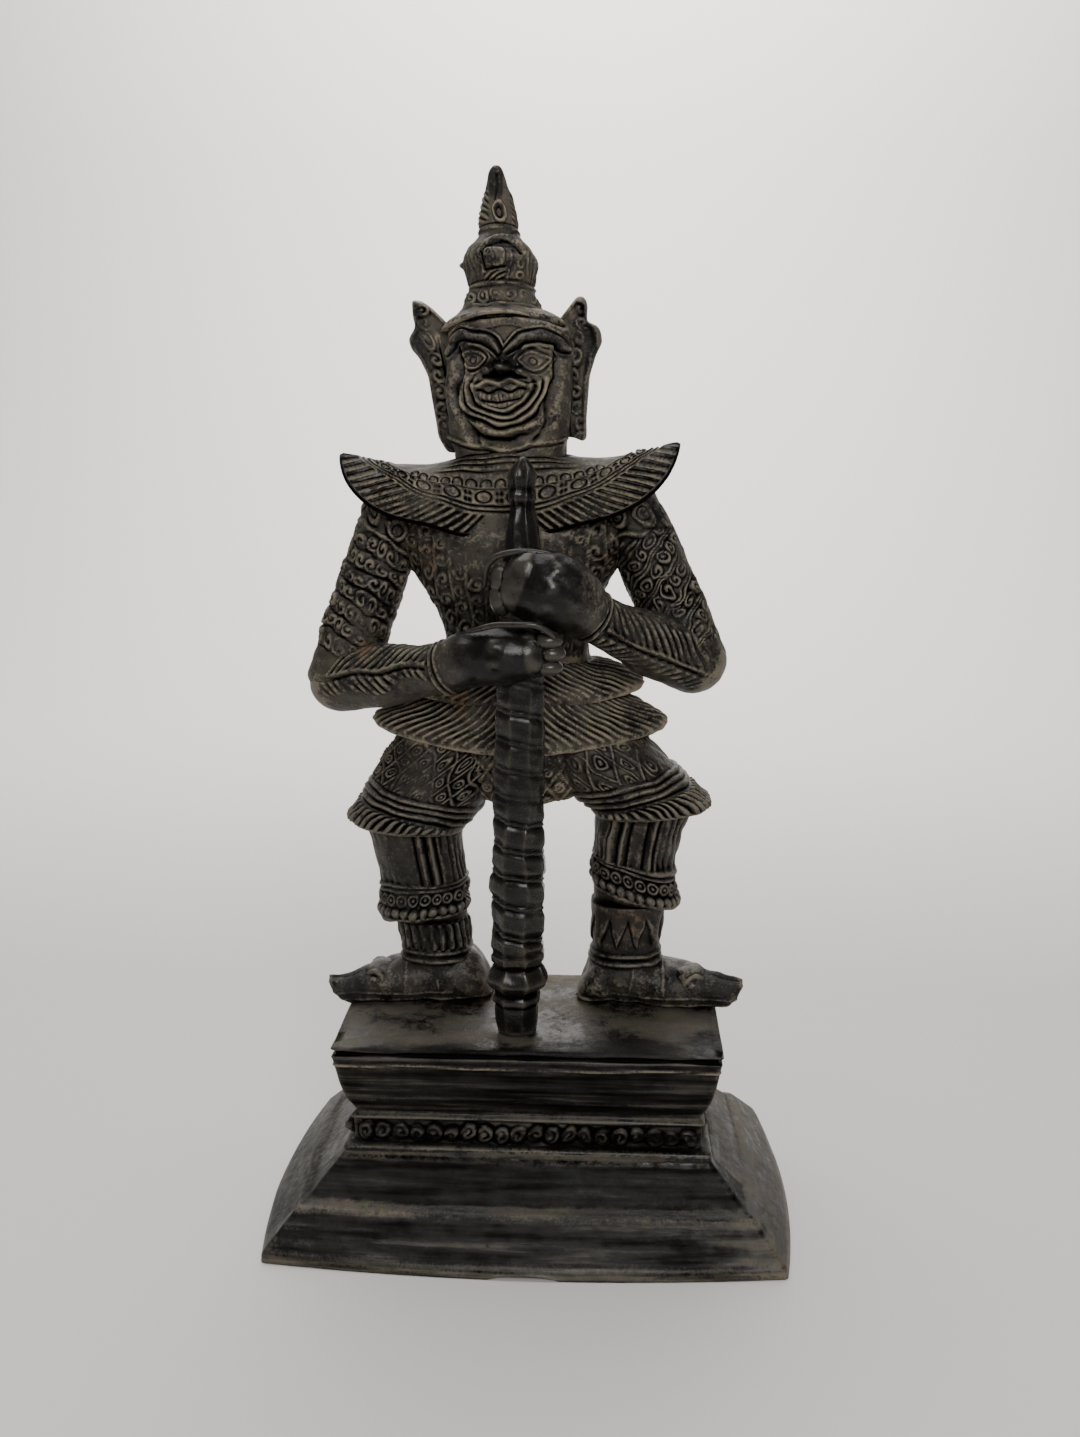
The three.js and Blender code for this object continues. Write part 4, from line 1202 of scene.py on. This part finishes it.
def ear_plate(side):
    """Rings shrink from the rim to a spine, along the front and back along the rear face."""
    outline = EAR_OUTLINES[side]
    keys = np.array(outline + outline[:1], float)
    run = run_along(keys)
    at = np.linspace(0, run[-1], 190, endpoint=False)
    out, z = np.interp(at, run, keys[:, 0]), np.interp(at, run, keys[:, 1])
    for _ in range(4):
        out = (np.roll(out, 1) + 2 * out + np.roll(out, -1)) / 4
        z = (np.roll(z, 1) + 2 * z + np.roll(z, -1)) / 4
    spine_z = np.clip(z, 204, 229)
    spine = 15 + 0.1 * np.maximum(spine_z - 215, 0)
    steps = np.linspace(0.05, 1, EAR_RINGS)
    radial = np.concatenate([steps, steps[::-1]])[:, None]
    face = np.repeat([1.0, -1.0], EAR_RINGS)[:, None]
    px = spine + (out - spine) * radial
    pz = spine_z + (z - spine_z) * radial
    y = 10.5 - face * 1.9 * np.sqrt(1.02 - radial**6)
    flat = np.dstack([px, px, pz])
    shake = lumps(flat, 4, 65 + side)
    number, down = cell(pz + 0.8 * shake, 4.1)
    lean = px - 17.4 - 2.6 * smooth(219, 231, pz) + 1.2 * (chance(number, side) - 0.5)
    bud = curl(lean, down, 2.1, turn=6 * chance(number, 5), hand=side, pitch=2.1)
    height = 0.6 * bud * smooth(203, 205, pz) * (0.7 + 0.3 * shake)
    height = height + 0.8 * line((1 - radial) * 5 - 0.5, 1.1) + 0.35 * lumps(flat, 2.2, 67 + side)
    y = y - np.where(face > 0, height * smooth(1, 0.92, radial), 0)
    return np.dstack([ear_x(pz) + side * px, y, pz])


# %% Crown
CROWN_Y = 11
FRONT_U = 1.2
# Rows of [height, half width].
CROWN_PROFILE = [
    [229.6, 15.9], [231, 15.3], [232.8, 13.4], [234, 11.6], [235.2, 10.3], [237, 9.4],
    [239.6, 8.3], [240.4, 8.2], [243, 8.7], [246.4, 9.5], [249.6, 8.3], [251.2, 6.6],
    [252.8, 5.4], [254.2, 5.2], [256.3, 5], [260, 4.3], [264.1, 3.1], [267, 2.2], [269, 1.4],
    [269.9, 0.6],
]


def tier_relief(u, z, shake):
    """The bulging tier: a plain stone in a deep arched niche, slanted strokes below it, and an
    upright strip of rings beside it."""
    stone = ((np.abs(u + 2.3) / 2.5) ** 4 + (np.abs(z - 247.4) / 2.3) ** 4) ** 0.25
    vault = np.hypot(u / 5.9, (z - 246.6) / 5.6)
    niche = smooth(1, 0.92, vault) * smooth(247.2, 249.2, z) * smooth(0.95, 1.1, stone)
    height = 0.5 * smooth(1.05, 0.85, stone) - 1.1 * niche
    height = height + 0.5 * line(vault - 1.09, 0.09) * smooth(245, 249, z)
    height = height - 0.9 * line(u + 5.2 + 0.15 * (z - 247), 0.5) * between(z, 244.2, 249)
    height = height - 0.9 * line(z - 244.7 - 0.12 * (u + 2), 0.45) * between(u, -5, 0.6, 0.4)
    strokes = 0.32 * waves(0.45 * u - z + 0.9 * shake, 1.9)
    strokes = strokes * between(u, -5.2, 1) * between(z, 241, 243.9)
    up = cell(z + 0.5 * shake, 2.4)[1]
    strip = 0.35 * line(np.hypot(u - 4.6, up) - 0.8, 0.5) + 0.4 * line(np.abs(u - 4.2) - 2.4, 0.5)
    strip = strip * between(z, 241.2, 249)
    sides = 0.2 * waves(u + shake, 2.3) * smooth(7, 8, np.abs(u)) * between(z, 241, 249, 1.5)
    return height + strokes + strip + sides


def crown():
    """Rings from the brim to the tip; over the forehead the brim is drawn up by cos^2."""
    z = np.linspace(229.7, 269.8, 170)[:, None]
    radius = sizes_at(CROWN_PROFILE, z)[0]
    angle = angles(200, 0.3)[None]
    points = rings(z, lean_x(z) - 0.6, CROWN_Y, radius, 0.92 * radius, angle)
    drawn_up = 3.9 * np.cos(angle) ** 2 * (1 - smooth(229, 237, z))
    points[..., 2] += drawn_up + 1.1 * np.cos(angle) * between(z, 237, 257, 4)
    shake = lumps(points, 3, 71)
    u = around(points) + 0.6 * shake - FRONT_U
    number, across = cell(u, 3.7)
    up = z - 237.2 + 0.5 * (chance(number) - 0.5) + 0.5 * lumps(points, 2.4, 72)
    scrolls = curl(across, up, 1.9, turn=6 * chance(number, 3), hand=-1, pitch=1.7)
    scrolls = (0.4 + 0.2 * lumps(points, 5, 73)) * scrolls
    scrolls = scrolls + 0.22 * lumps(points, 1.5, 74) * between(z, 234, 240, 0.5)
    rims = 0.4 * line(z - 240, 0.6) - 0.25 * line(z - 240.9, 0.5) + 0.3 * line(z - 234.9, 0.5)
    rims = rims + 0.2 * line(z - 253.6, 0.5) - 0.25 * line(z - 254.6, 0.4)
    tier = tier_relief(u, z + 1.2, shake) * between(z, 241, 251.6, 0.3)
    almond_ring = np.hypot((u + 0.5) / 1.3, (z - 257.9) / 2.5)
    spire = 0.5 * line(almond_ring - 1.15, 0.35) - 1.2 * smooth(1, 0.7, almond_ring)
    spire = spire - 0.6 * line(u + 1.7 - 0.16 * (z - 261), 0.5) * between(z, 261.4, 267.6)
    leaves = 0.25 * waves(z + 0.8 * u + 0.6 * shake, 1.9)
    leaves = leaves * smooth(2.6, 3.6, np.abs(u + 0.5)) * between(z, 256, 263, 1)
    burr = 1.1 * line(np.hypot(u + 15.4, z - 246.2), 1.2)
    return relieved(points, scrolls + rims + tier + spire + leaves + burr + 0.15 * shake)


plates = [ear_plate(side) for side in SIDES]
cast("head", [head()], [crown()], plates)

# %% [markdown]
# ## Wear, dirt and painted light as attributes
# Hands and cloths reach the ridges and never the hollows. A smoothed copy of each skin shows which
# is which: where it lies outside the real surface there is a hollow. The difference is kept on the
# mesh, so the material can read it. Dust, black dirt, painted shade and highlight, earth, polish
# and streaks are numbers on the mesh too, set from heights and distances.

# %% Attributes


def averaged(positions, edges, steps):
    """Each point moves to the mean of its neighbours and itself, `steps` times."""
    count = len(positions)
    share = 1 / (1 + np.bincount(edges.ravel(), minlength=count))
    for _ in range(steps):
        total = positions.copy()
        for axis in range(3):
            total[:, axis] += np.bincount(edges[:, 0], positions[edges[:, 1], axis], count)
            total[:, axis] += np.bincount(edges[:, 1], positions[edges[:, 0], axis], count)
        positions = total * share[:, None]
    return positions


def read_rows(items, field, width, kind=np.float32):
    """A field of all the items of a mesh, one row of `width` numbers for each."""
    values = np.empty(len(items) * width, kind)
    items.foreach_get(field, values)
    return values.reshape(-1, width)


def add_attribute(mesh, name, values):
    """Keeps one number for each point of a mesh under a name."""
    attribute = mesh.attributes.new(name, "FLOAT", "POINT")
    attribute.data.foreach_set("value", values.astype(np.float32))


def near(points, at, radius):
    """1 at a place, falling smoothly to nothing at `radius` millimetres."""
    return 1 - smooth(0, radius, np.linalg.norm(points - np.array(at, float), axis=1))


def weathered(piece):
    """The points, and how far each stands out from its surroundings, near and wide."""
    mesh = piece.data
    points = read_rows(mesh.vertices, "co", 3) / MM
    normals = read_rows(mesh.vertex_normals, "vector", 3)
    edges = read_rows(mesh.edges, "vertices", 2, np.int32)
    close = averaged(points, edges, 6)
    wide = averaged(close, edges, 30)
    ridge = np.sum((points - close) * normals, axis=1)
    return points, ridge, np.sum((points - wide) * normals, axis=1)


# How dusty each piece above the plinth is, from 0 to 1.
DUSTY = {
    "club": 0.05, "left_leg": 0.3, "right_leg": 0.4, "hips": 0.9, "chest": 0.45,
    "collar": 0.95, "left_arm": 0.5, "right_arm": 0.4, "head": 1.0,
}
# Rows of [x, y, z, radius] where reddish earth shows.
EARTH = [
    [21.3, 0, 171.6, 7], [-28.2, 0, 173.2, 7], [-18.9, -2, 137.5, 8], [-43, 0, 149.3, 6],
    [-10, 4, 52, 8], [41, -6, 55, 5], [-43, -6, 55, 4], [-2, -16, 72, 6],
    [-20, 8, 100, 6], [26, 2, 76, 7],
]


def on_mask(x, y, z):
    """1 on the mask's nose, and 1 on its brows."""
    turned = np.cos(HEAD_TURN) * (x - HEAD_MIDDLE) + np.sin(HEAD_TURN) * (y - HEAD_Y) - MASK_X
    brow, _ = along_curve(np.abs(turned), z, BROW)
    nose_at = np.hypot(turned / 5.8, (z - 219.8) / 3)
    return smooth(1.2, 0.8, nose_at) * (y < 3), smooth(1.9, 1.3, brow) * (y < 3)


# Heights on the plinth where dust lies, and how far up and down it reaches.
LEDGES = [[1.2, 1.2], [11.8, 2.2], [21.2, 2.4], [31.2, 1.6]]


def thread_on(points):
    """1 on the thin raised line under the top's front edge."""
    return line(above_thread(points), 0.6) * (points[:, 1] < 0)


def behind_edge(x, y, points):
    """0 along the top's front edge and 1 behind a wavering line: dust lies behind it, dirt before
    it."""
    return smooth(-25, -17, y - 0.12 * x + 4 * lumps(points, 10, 96))


def plinth_dust(x, y, z, points):
    """Dust on the ledges and the top, but not near the top's front edge, and in a thin high
    line. Both ends below the top are painted lighter, a painted highlight with a little dust,
    but low at the left end they stay dark as painted shade."""
    ledges = sum(line(z - at, wide) for at, wide in LEDGES)
    ledges = ledges * (0.8 + 0.4 * lumps(points, 14, 97))
    top = smooth(50, 50.6, z) * (0.05 + 0.65 * behind_edge(x, y, points))
    # Both ends are painted lighter as a highlight with a little dust, except low at the left end,
    # which stays dark as painted shade.
    shaded = smooth(-30, -50, x) * smooth(34, 20, z)
    ends = 0.3 * smooth(32, 60, np.abs(x)) * smooth(50, 46, z) * (1 - shaded)
    band = 0.15 * between(z, 22.6, 30, 0.5)
    return 0.03 + 0.85 * ledges + thread_on(points) + top + band + ends


def plinth_grime_and_shade(x, y, z, points):
    """Matt black dirt on the top along its front edge. Painted shade on the sloped sides at the
    front and low at the left end, and dirt with painted shade in the recessed scroll band.
    """
    top = 0.8 * smooth(50, 50.6, z) * (1 - behind_edge(x, y, points))
    # Painted shade: the sloped sides are darkened on the front only, less towards the ends.
    slopes = 0.8 * between(z, 12.8, 19, 1) + 0.45 * smooth(11, 9, z) + 0.6 * between(z, 32.5, 48, 1)
    slopes = slopes * (1 - line(z - THREAD_Z, 1))
    slopes = slopes * (y < -20) * smooth(72, 50, np.abs(x))
    # Painted shade low at the left end.
    end = 0.5 * smooth(-50, -58, x) * smooth(34, 16, z) * (y > -34)
    # The recessed scroll band is darkened: dirt and painted shade.
    return top + end + slopes + 0.6 * between(z, 23, 29.8, 0.5)


def grime_and_shade_on(name, points):
    """Black dirt on the toes, the brows, the ear plates' rims and the crown's tip. On the plinth
    it is dirt and painted shade, and in the top of the crown's niche it is painted shade."""
    x, y, z = points.T
    if name == "plinth":
        return plinth_grime_and_shade(x, y, z, points)
    if name in ("left_leg", "right_leg"):
        return 0.9 * smooth(44, 47, np.abs(x)) * smooth(66, 60, z)
    if name == "head":
        ears = smooth(19.5, 22.5, np.abs(x - ear_x(z))) * smooth(217, 224, z)
        # Painted shade in the top of the crown's niche, under its arch.
        vault = np.hypot((x - lean_x(z) + 0.9) / 5.9, (z - 246.5) / 5.6)
        niche = smooth(1, 0.93, vault) * smooth(249, 249.8, z)
        spire = smooth(260, 264, z) * smooth(2.4, 1.2, np.abs(x - lean_x(z) + 0.8))
        spire = spire + smooth(267, 268.5, z)
        return 0.5 * on_mask(x, y, z)[1] + 0.8 * ears + 0.8 * spire + 0.9 * niche * (y < CROWN_Y)
    return np.zeros(len(points))


def dust_on(name, points):
    """Dust lies on the upper half and on the plinth; hands keep it off the nose, the fists and
    the tips of the ears. Below the knees the legs get half of it, so they are darker towards the
    bottom."""
    x, y, z = points.T
    if name == "plinth":
        return plinth_dust(x, y, z, points)
    dust = np.full(len(points), DUSTY[name])
    if name in ("left_leg", "right_leg"):
        # Half the dust below the knees: the legs are darker towards the bottom.
        dust = dust * (0.5 + 0.5 * smooth(95, 112, z)) + 0.25 * smooth(64, 56, z)
    if name in ("left_arm", "right_arm"):
        dust = dust * smooth(14, 20, np.abs(x + 2))
    if name == "head":
        nose_share, brow_share = on_mask(x, y, z)
        tips = smooth(17.5, 22, np.abs(x - ear_x(z)))
        flaps = smooth(11, 13, np.abs(x - HEAD_MIDDLE)) * between(z, 200, 226, 2)
        dust = dust * (1 - nose_share) * (1 - 0.8 * brow_share)
        dust = dust * (1 - 0.7 * tips) * (1 - 0.45 * flaps)
    if name == "collar":
        dust = dust * (1 - 0.6 * smooth(34, 43, np.abs(x - lean_x(200))))
    return dust


def polish_on(name, points):
    """Hands polish the fists, the club and the nose."""
    x, y, z = points.T
    if name in ("left_arm", "right_arm"):
        return 0.8 * smooth(20, 12, np.abs(x + 2))
    if name == "head":
        return on_mask(x, y, z)[0]
    return np.full(len(points), {"club": 1.0, "plinth": 0.1}.get(name, 0.0))


for name, piece in casting.items():
    points, ridge, stand = weathered(piece)
    z = points[:, 2]
    is_plinth = float(name == "plinth")
    flat_top = is_plinth * smooth(49.8, 50.3, z)
    ledges = is_plinth * sum(line(z - at, 1.1) for at, _ in LEDGES)
    earth = sum(near(points, at, radius) for *at, radius in EARTH)
    # The grime number is black dirt and also painted shade; on the plinth the dust number also
    # carries a painted highlight at the ends.
    fields = {
        "ridge": ridge * (1 - flat_top) * (1 - ledges),
        "stand": stand * (1 - flat_top),
        "dust": dust_on(name, points),
        "polish": polish_on(name, points),
        "earth": np.minimum(earth, 1),
        "streaks": is_plinth * (1 - thread_on(points)),
        "grime_and_shade": grime_and_shade_on(name, points),
    }
    for field, values in fields.items():
        add_attribute(piece.data, field, values)
print("weathered", len(casting), "pieces")

# %% [markdown]
# ## Bronze
# One metal covers everything, so one material does: near-black in the hollows, dark brown on the
# flats and lighter on the ridges, which is wear and a painted highlight. Dust, dirt, painted shade,
# earth, polish and streaks come from the numbers on the mesh, and noise at several scales breaks
# them up.

# %% Shader helpers


class Value:
    """A socket whose number varies over the surface. Sums and products of values add Math nodes."""

    def __init__(self, finish, socket):
        self.finish = finish
        self.socket = socket

    def math(self, operation, first, second):
        """The result of one Math node."""
        return self.finish.node("ShaderNodeMath", {"operation": operation}, {0: first, 1: second})

    def __add__(self, other):
        return self.math("ADD", self, other)

    def __radd__(self, other):
        return self.math("ADD", other, self)

    def __sub__(self, other):
        return self.math("SUBTRACT", self, other)

    def __rsub__(self, other):
        return self.math("SUBTRACT", other, self)

    def __mul__(self, other):
        return self.math("MULTIPLY", self, other)

    def __rmul__(self, other):
        return self.math("MULTIPLY", other, self)


class Finish:
    """A material whose nodes are made one by one, settings first."""

    def __init__(self, name):
        self.material = bpy.data.materials.new(name)
        self.material.use_nodes = True
        self.tree = self.material.node_tree
        self.tree.nodes.clear()

    def node(self, kind, settings=None, inputs=None, output=0):
        """A node of a kind, with its settings and the values or links of its sockets."""
        node = self.tree.nodes.new(kind)
        for key, value in (settings or {}).items():
            setattr(node, key, value)
        for key, value in (inputs or {}).items():
            if isinstance(value, Value):
                self.tree.links.new(value.socket, node.inputs[key])
            else:
                node.inputs[key].default_value = value
        return Value(self, node.outputs[output]) if node.outputs else None

    def attribute(self, name):
        """A number kept on the mesh."""
        return self.node("ShaderNodeAttribute", {"attribute_name": name}, output="Fac")

    def noise(self, size, detail=3.0, squeeze=(1, 1, 1)):
        """Noise whose blotches are about `size` millimetres, on Object coordinates. Squeezing an
        axis below 1 draws the blotches out along it."""
        place = self.node("ShaderNodeTexCoord", output="Object")
        place = self.node("ShaderNodeMapping", inputs={"Vector": place, "Scale": squeeze})
        inputs = {"Vector": place, "Scale": 1 / (size * MM), "Detail": detail}
        return self.node("ShaderNodeTexNoise", inputs=inputs)

    def grade(self, value, low, high):
        """0 where a value is low, 1 where it is high, smooth between."""
        settings = {"interpolation_type": "SMOOTHSTEP"}
        inputs = {"Value": value, "From Min": low, "From Max": high}
        return self.node("ShaderNodeMapRange", settings, inputs)

    def mix(self, share, first, second):
        """From the first colour to the second."""
        inputs = {0: share, 6: first, 7: second}
        return self.node("ShaderNodeMix", {"data_type": "RGBA"}, inputs, output=2)


# %% Bronze
HOLLOW = (0.0015, 0.0013, 0.0011, 1)
BARE = (0.0065, 0.0056, 0.0048, 1)
# The worn colours for the ridges are wear and a painted highlight.
BARE_WORN_HIGHLIT = (0.085, 0.075, 0.06, 1)
DUST = (0.085, 0.072, 0.056, 1)
DUST_WORN_HIGHLIT = (0.26, 0.215, 0.155, 1)
# Black dirt, also used as painted shade.
GRIME_AND_SHADE = (0.0045, 0.004, 0.0034, 1)
STREAK = (0.13, 0.11, 0.085, 1)
EARTH_COLOUR = (0.16, 0.085, 0.04, 1)
GREEN = (0.075, 0.075, 0.045, 1)
PLUM = (0.055, 0.042, 0.042, 1)
OLIVE_WORN_HIGHLIT = (0.17, 0.165, 0.105, 1)
BUMP_DEPTH = 0.0004  # in metres, as all lengths in a material


def bronze_finish():
    """Bare metal and dust, each with a colour for the flats and one for the ridges; the ridges'
    lighter colour is wear and a painted highlight.
    """
    finish = Finish("bronze")
    ridge, stand = finish.attribute("ridge"), finish.attribute("stand")
    dust, polish = finish.attribute("dust"), finish.attribute("polish")
    earth, grime_and_shade = finish.attribute("earth"), finish.attribute("grime_and_shade")
    blotch, patch, grain = finish.noise(9), finish.noise(2.4, 4), finish.noise(0.7, 2)
    slab = finish.attribute("streaks")
    streak = slab * (finish.noise(1.5, 5, (0.05, 0.1, 1)) - 0.5)
    uneven = (0.5 * patch + 0.5 * grain - 0.5) * (1 - 0.9 * polish) + 0.7 * streak
    dusty = dust * finish.grade(blotch + 1.2 * uneven + streak, 0.22, 0.55)
    # Painted highlight as well as wear: where the surface stands out it takes the lighter ridge
    # colours.
    raised = finish.grade(ridge + 0.2 * stand + 1.3 * uneven, 0.03, 0.36)
    raised = raised * (1 - 0.5 * slab) * (1 - 0.5 * polish)
    sunk = 0.98 * finish.grade(0.3 * uneven - ridge, -0.01, 0.19)
    # Black dirt, and painted shade on the plinth's front slopes, its low left end, its scroll band
    # and in the crown's niche.
    grimy_and_shaded = finish.grade(grime_and_shade + 0.8 * blotch + 0.5 * patch - 1.6 * streak, 0.8, 1.35)
    grimy_and_shaded = grimy_and_shaded * (1 - 0.7 * raised)
    deep = sunk + (1 - sunk) * slab * grimy_and_shaded * finish.grade(0.5 * blotch - streak, 0.1, 0.5)
    flat = finish.mix(dusty, BARE, DUST)
    flat = finish.mix(dusty * finish.grade(finish.noise(6), 0.52, 0.7), flat, GREEN)
    flat = finish.mix(dusty * finish.grade(finish.noise(4), 0.54, 0.68), flat, PLUM)
    # The lighter ridge colours: wear and a painted highlight.
    worn = finish.mix(dusty, BARE_WORN_HIGHLIT, DUST_WORN_HIGHLIT)
    worn = finish.mix(dusty * finish.grade(finish.noise(5), 0.48, 0.66), worn, OLIVE_WORN_HIGHLIT)
    colour = finish.mix(raised, flat, worn)
    pale = 0.4 * slab * finish.grade(streak + 0.3 * blotch, 0.17, 0.34)
    colour = finish.mix(pale, colour, STREAK)
    # Black dirt and painted shade darken the colour.
    colour = finish.mix(0.85 * grimy_and_shaded, colour, GRIME_AND_SHADE)
    colour = finish.mix(0.6 * earth * finish.grade(patch + uneven, 0.4, 0.65), colour, EARTH_COLOUR)
    colour = finish.mix(sunk, colour, HOLLOW)
    rough = 0.44 + 0.3 * dusty - 0.18 * polish + 0.6 * uneven + 0.15 * sunk + 0.1 * grimy_and_shaded
    rugged = (patch + 0.6 * grain) * (1 - 0.6 * slab) * (1 - 0.75 * polish)
    roughened = {"Strength": 0.6, "Distance": BUMP_DEPTH, "Height": rugged}
    bump = finish.node("ShaderNodeBump", inputs=roughened)
    shader = finish.node(
        "ShaderNodeBsdfPrincipled",
        inputs={
            "Base Color": colour,
            "Roughness": rough,
            "Metallic": 0.25 + 0.7 * deep,
            "Specular IOR Level": 0.35,
            "Normal": bump,
        },
    )
    finish.node("ShaderNodeOutputMaterial", inputs={"Surface": shader})
    return finish.material


bronze = bronze_finish()
for piece in casting.values():
    piece.data.materials.clear()
    piece.data.materials.append(bronze)
    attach(piece, "root")
    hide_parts(CASTING)
print("bronze nodes:", len(bronze.node_tree.nodes))

# %% [markdown]
# ## Floor and light
# The object stands on a pale floor that curves up into a backdrop, so no horizon line cuts behind
# it. A wide soft light hangs above and a little behind it, and a smaller one shines from the front
# and a little to the right. A third, behind the figure, is aimed at the backdrop. Lengths from here
# on are in metres.

# %% Stage
FLOOR_COLOUR = (0.62, 0.595, 0.57, 1)
BEND_RADIUS = 0.5


def sweep():
    """A floor that turns up into a wall: a profile along Y, carried along X."""
    turn = np.linspace(0, PI / 2, 17)
    y = np.concatenate([[-1.2], 0.6 + BEND_RADIUS * np.sin(turn), [1.1]])
    z = np.concatenate([[0], BEND_RADIUS - BEND_RADIUS * np.cos(turn), [1.8]])
    x = np.array([-2.2, 2.2])
    points = np.stack(np.broadcast_arrays(x, y[:, None], z[:, None]), axis=-1).reshape(-1, 3)
    row = np.arange(len(y) - 1)[:, None] * 2
    faces = row + np.array([[0, 1, 3, 2]])
    mesh = bpy.data.meshes.new("floor")
    mesh.from_pydata(points.tolist(), [], faces.tolist())
    mesh.polygons.foreach_set("use_smooth", np.ones(len(faces), bool))
    floor = bpy.data.objects.new("floor", mesh)
    bpy.context.scene.collection.objects.link(floor)
    return floor


def softbox(name, at, size, power, aim=(0, 0, 0.14)):
    """A square area light, aimed at the figure's chest unless said otherwise."""
    data = bpy.data.lights.new(name, "AREA")
    data.shape, data.size, data.energy = "SQUARE", size, power
    lamp = bpy.data.objects.new(name, data)
    lamp.location = at
    aim = np.array(aim) - np.array(at)
    flat = np.hypot(aim[0], aim[1])
    lamp.rotation_euler = (np.arctan2(flat, -aim[2]), 0, np.arctan2(-aim[0], aim[1]))
    bpy.context.scene.collection.objects.link(lamp)


floor_finish = Finish("floor")
floor_look = {"Base Color": FLOOR_COLOUR, "Roughness": 0.8}
floor_shader = floor_finish.node("ShaderNodeBsdfPrincipled", inputs=floor_look)
floor_finish.node("ShaderNodeOutputMaterial", inputs={"Surface": floor_shader})
floor = sweep()
floor.data.materials.append(floor_finish.material)
softbox("top light", (-0.15, 0.25, 1.1), 1.0, 13)
softbox("front light", (0.2, -1.0, 0.75), 0.5, 9)
softbox("wall light", (0, 0.45, 1.0), 0.6, 28, aim=(0, 1.1, 0.8))
world = bpy.data.worlds.new("room")
world.use_nodes = True
world.node_tree.nodes["Background"].inputs["Color"].default_value = (0.9, 0.92, 0.95, 1)
world.node_tree.nodes["Background"].inputs["Strength"].default_value = 0.16
bpy.context.scene.world = world

# %% Triangle count
print("triangles:", sum(len(piece.data.loop_triangles) for piece in casting.values()))
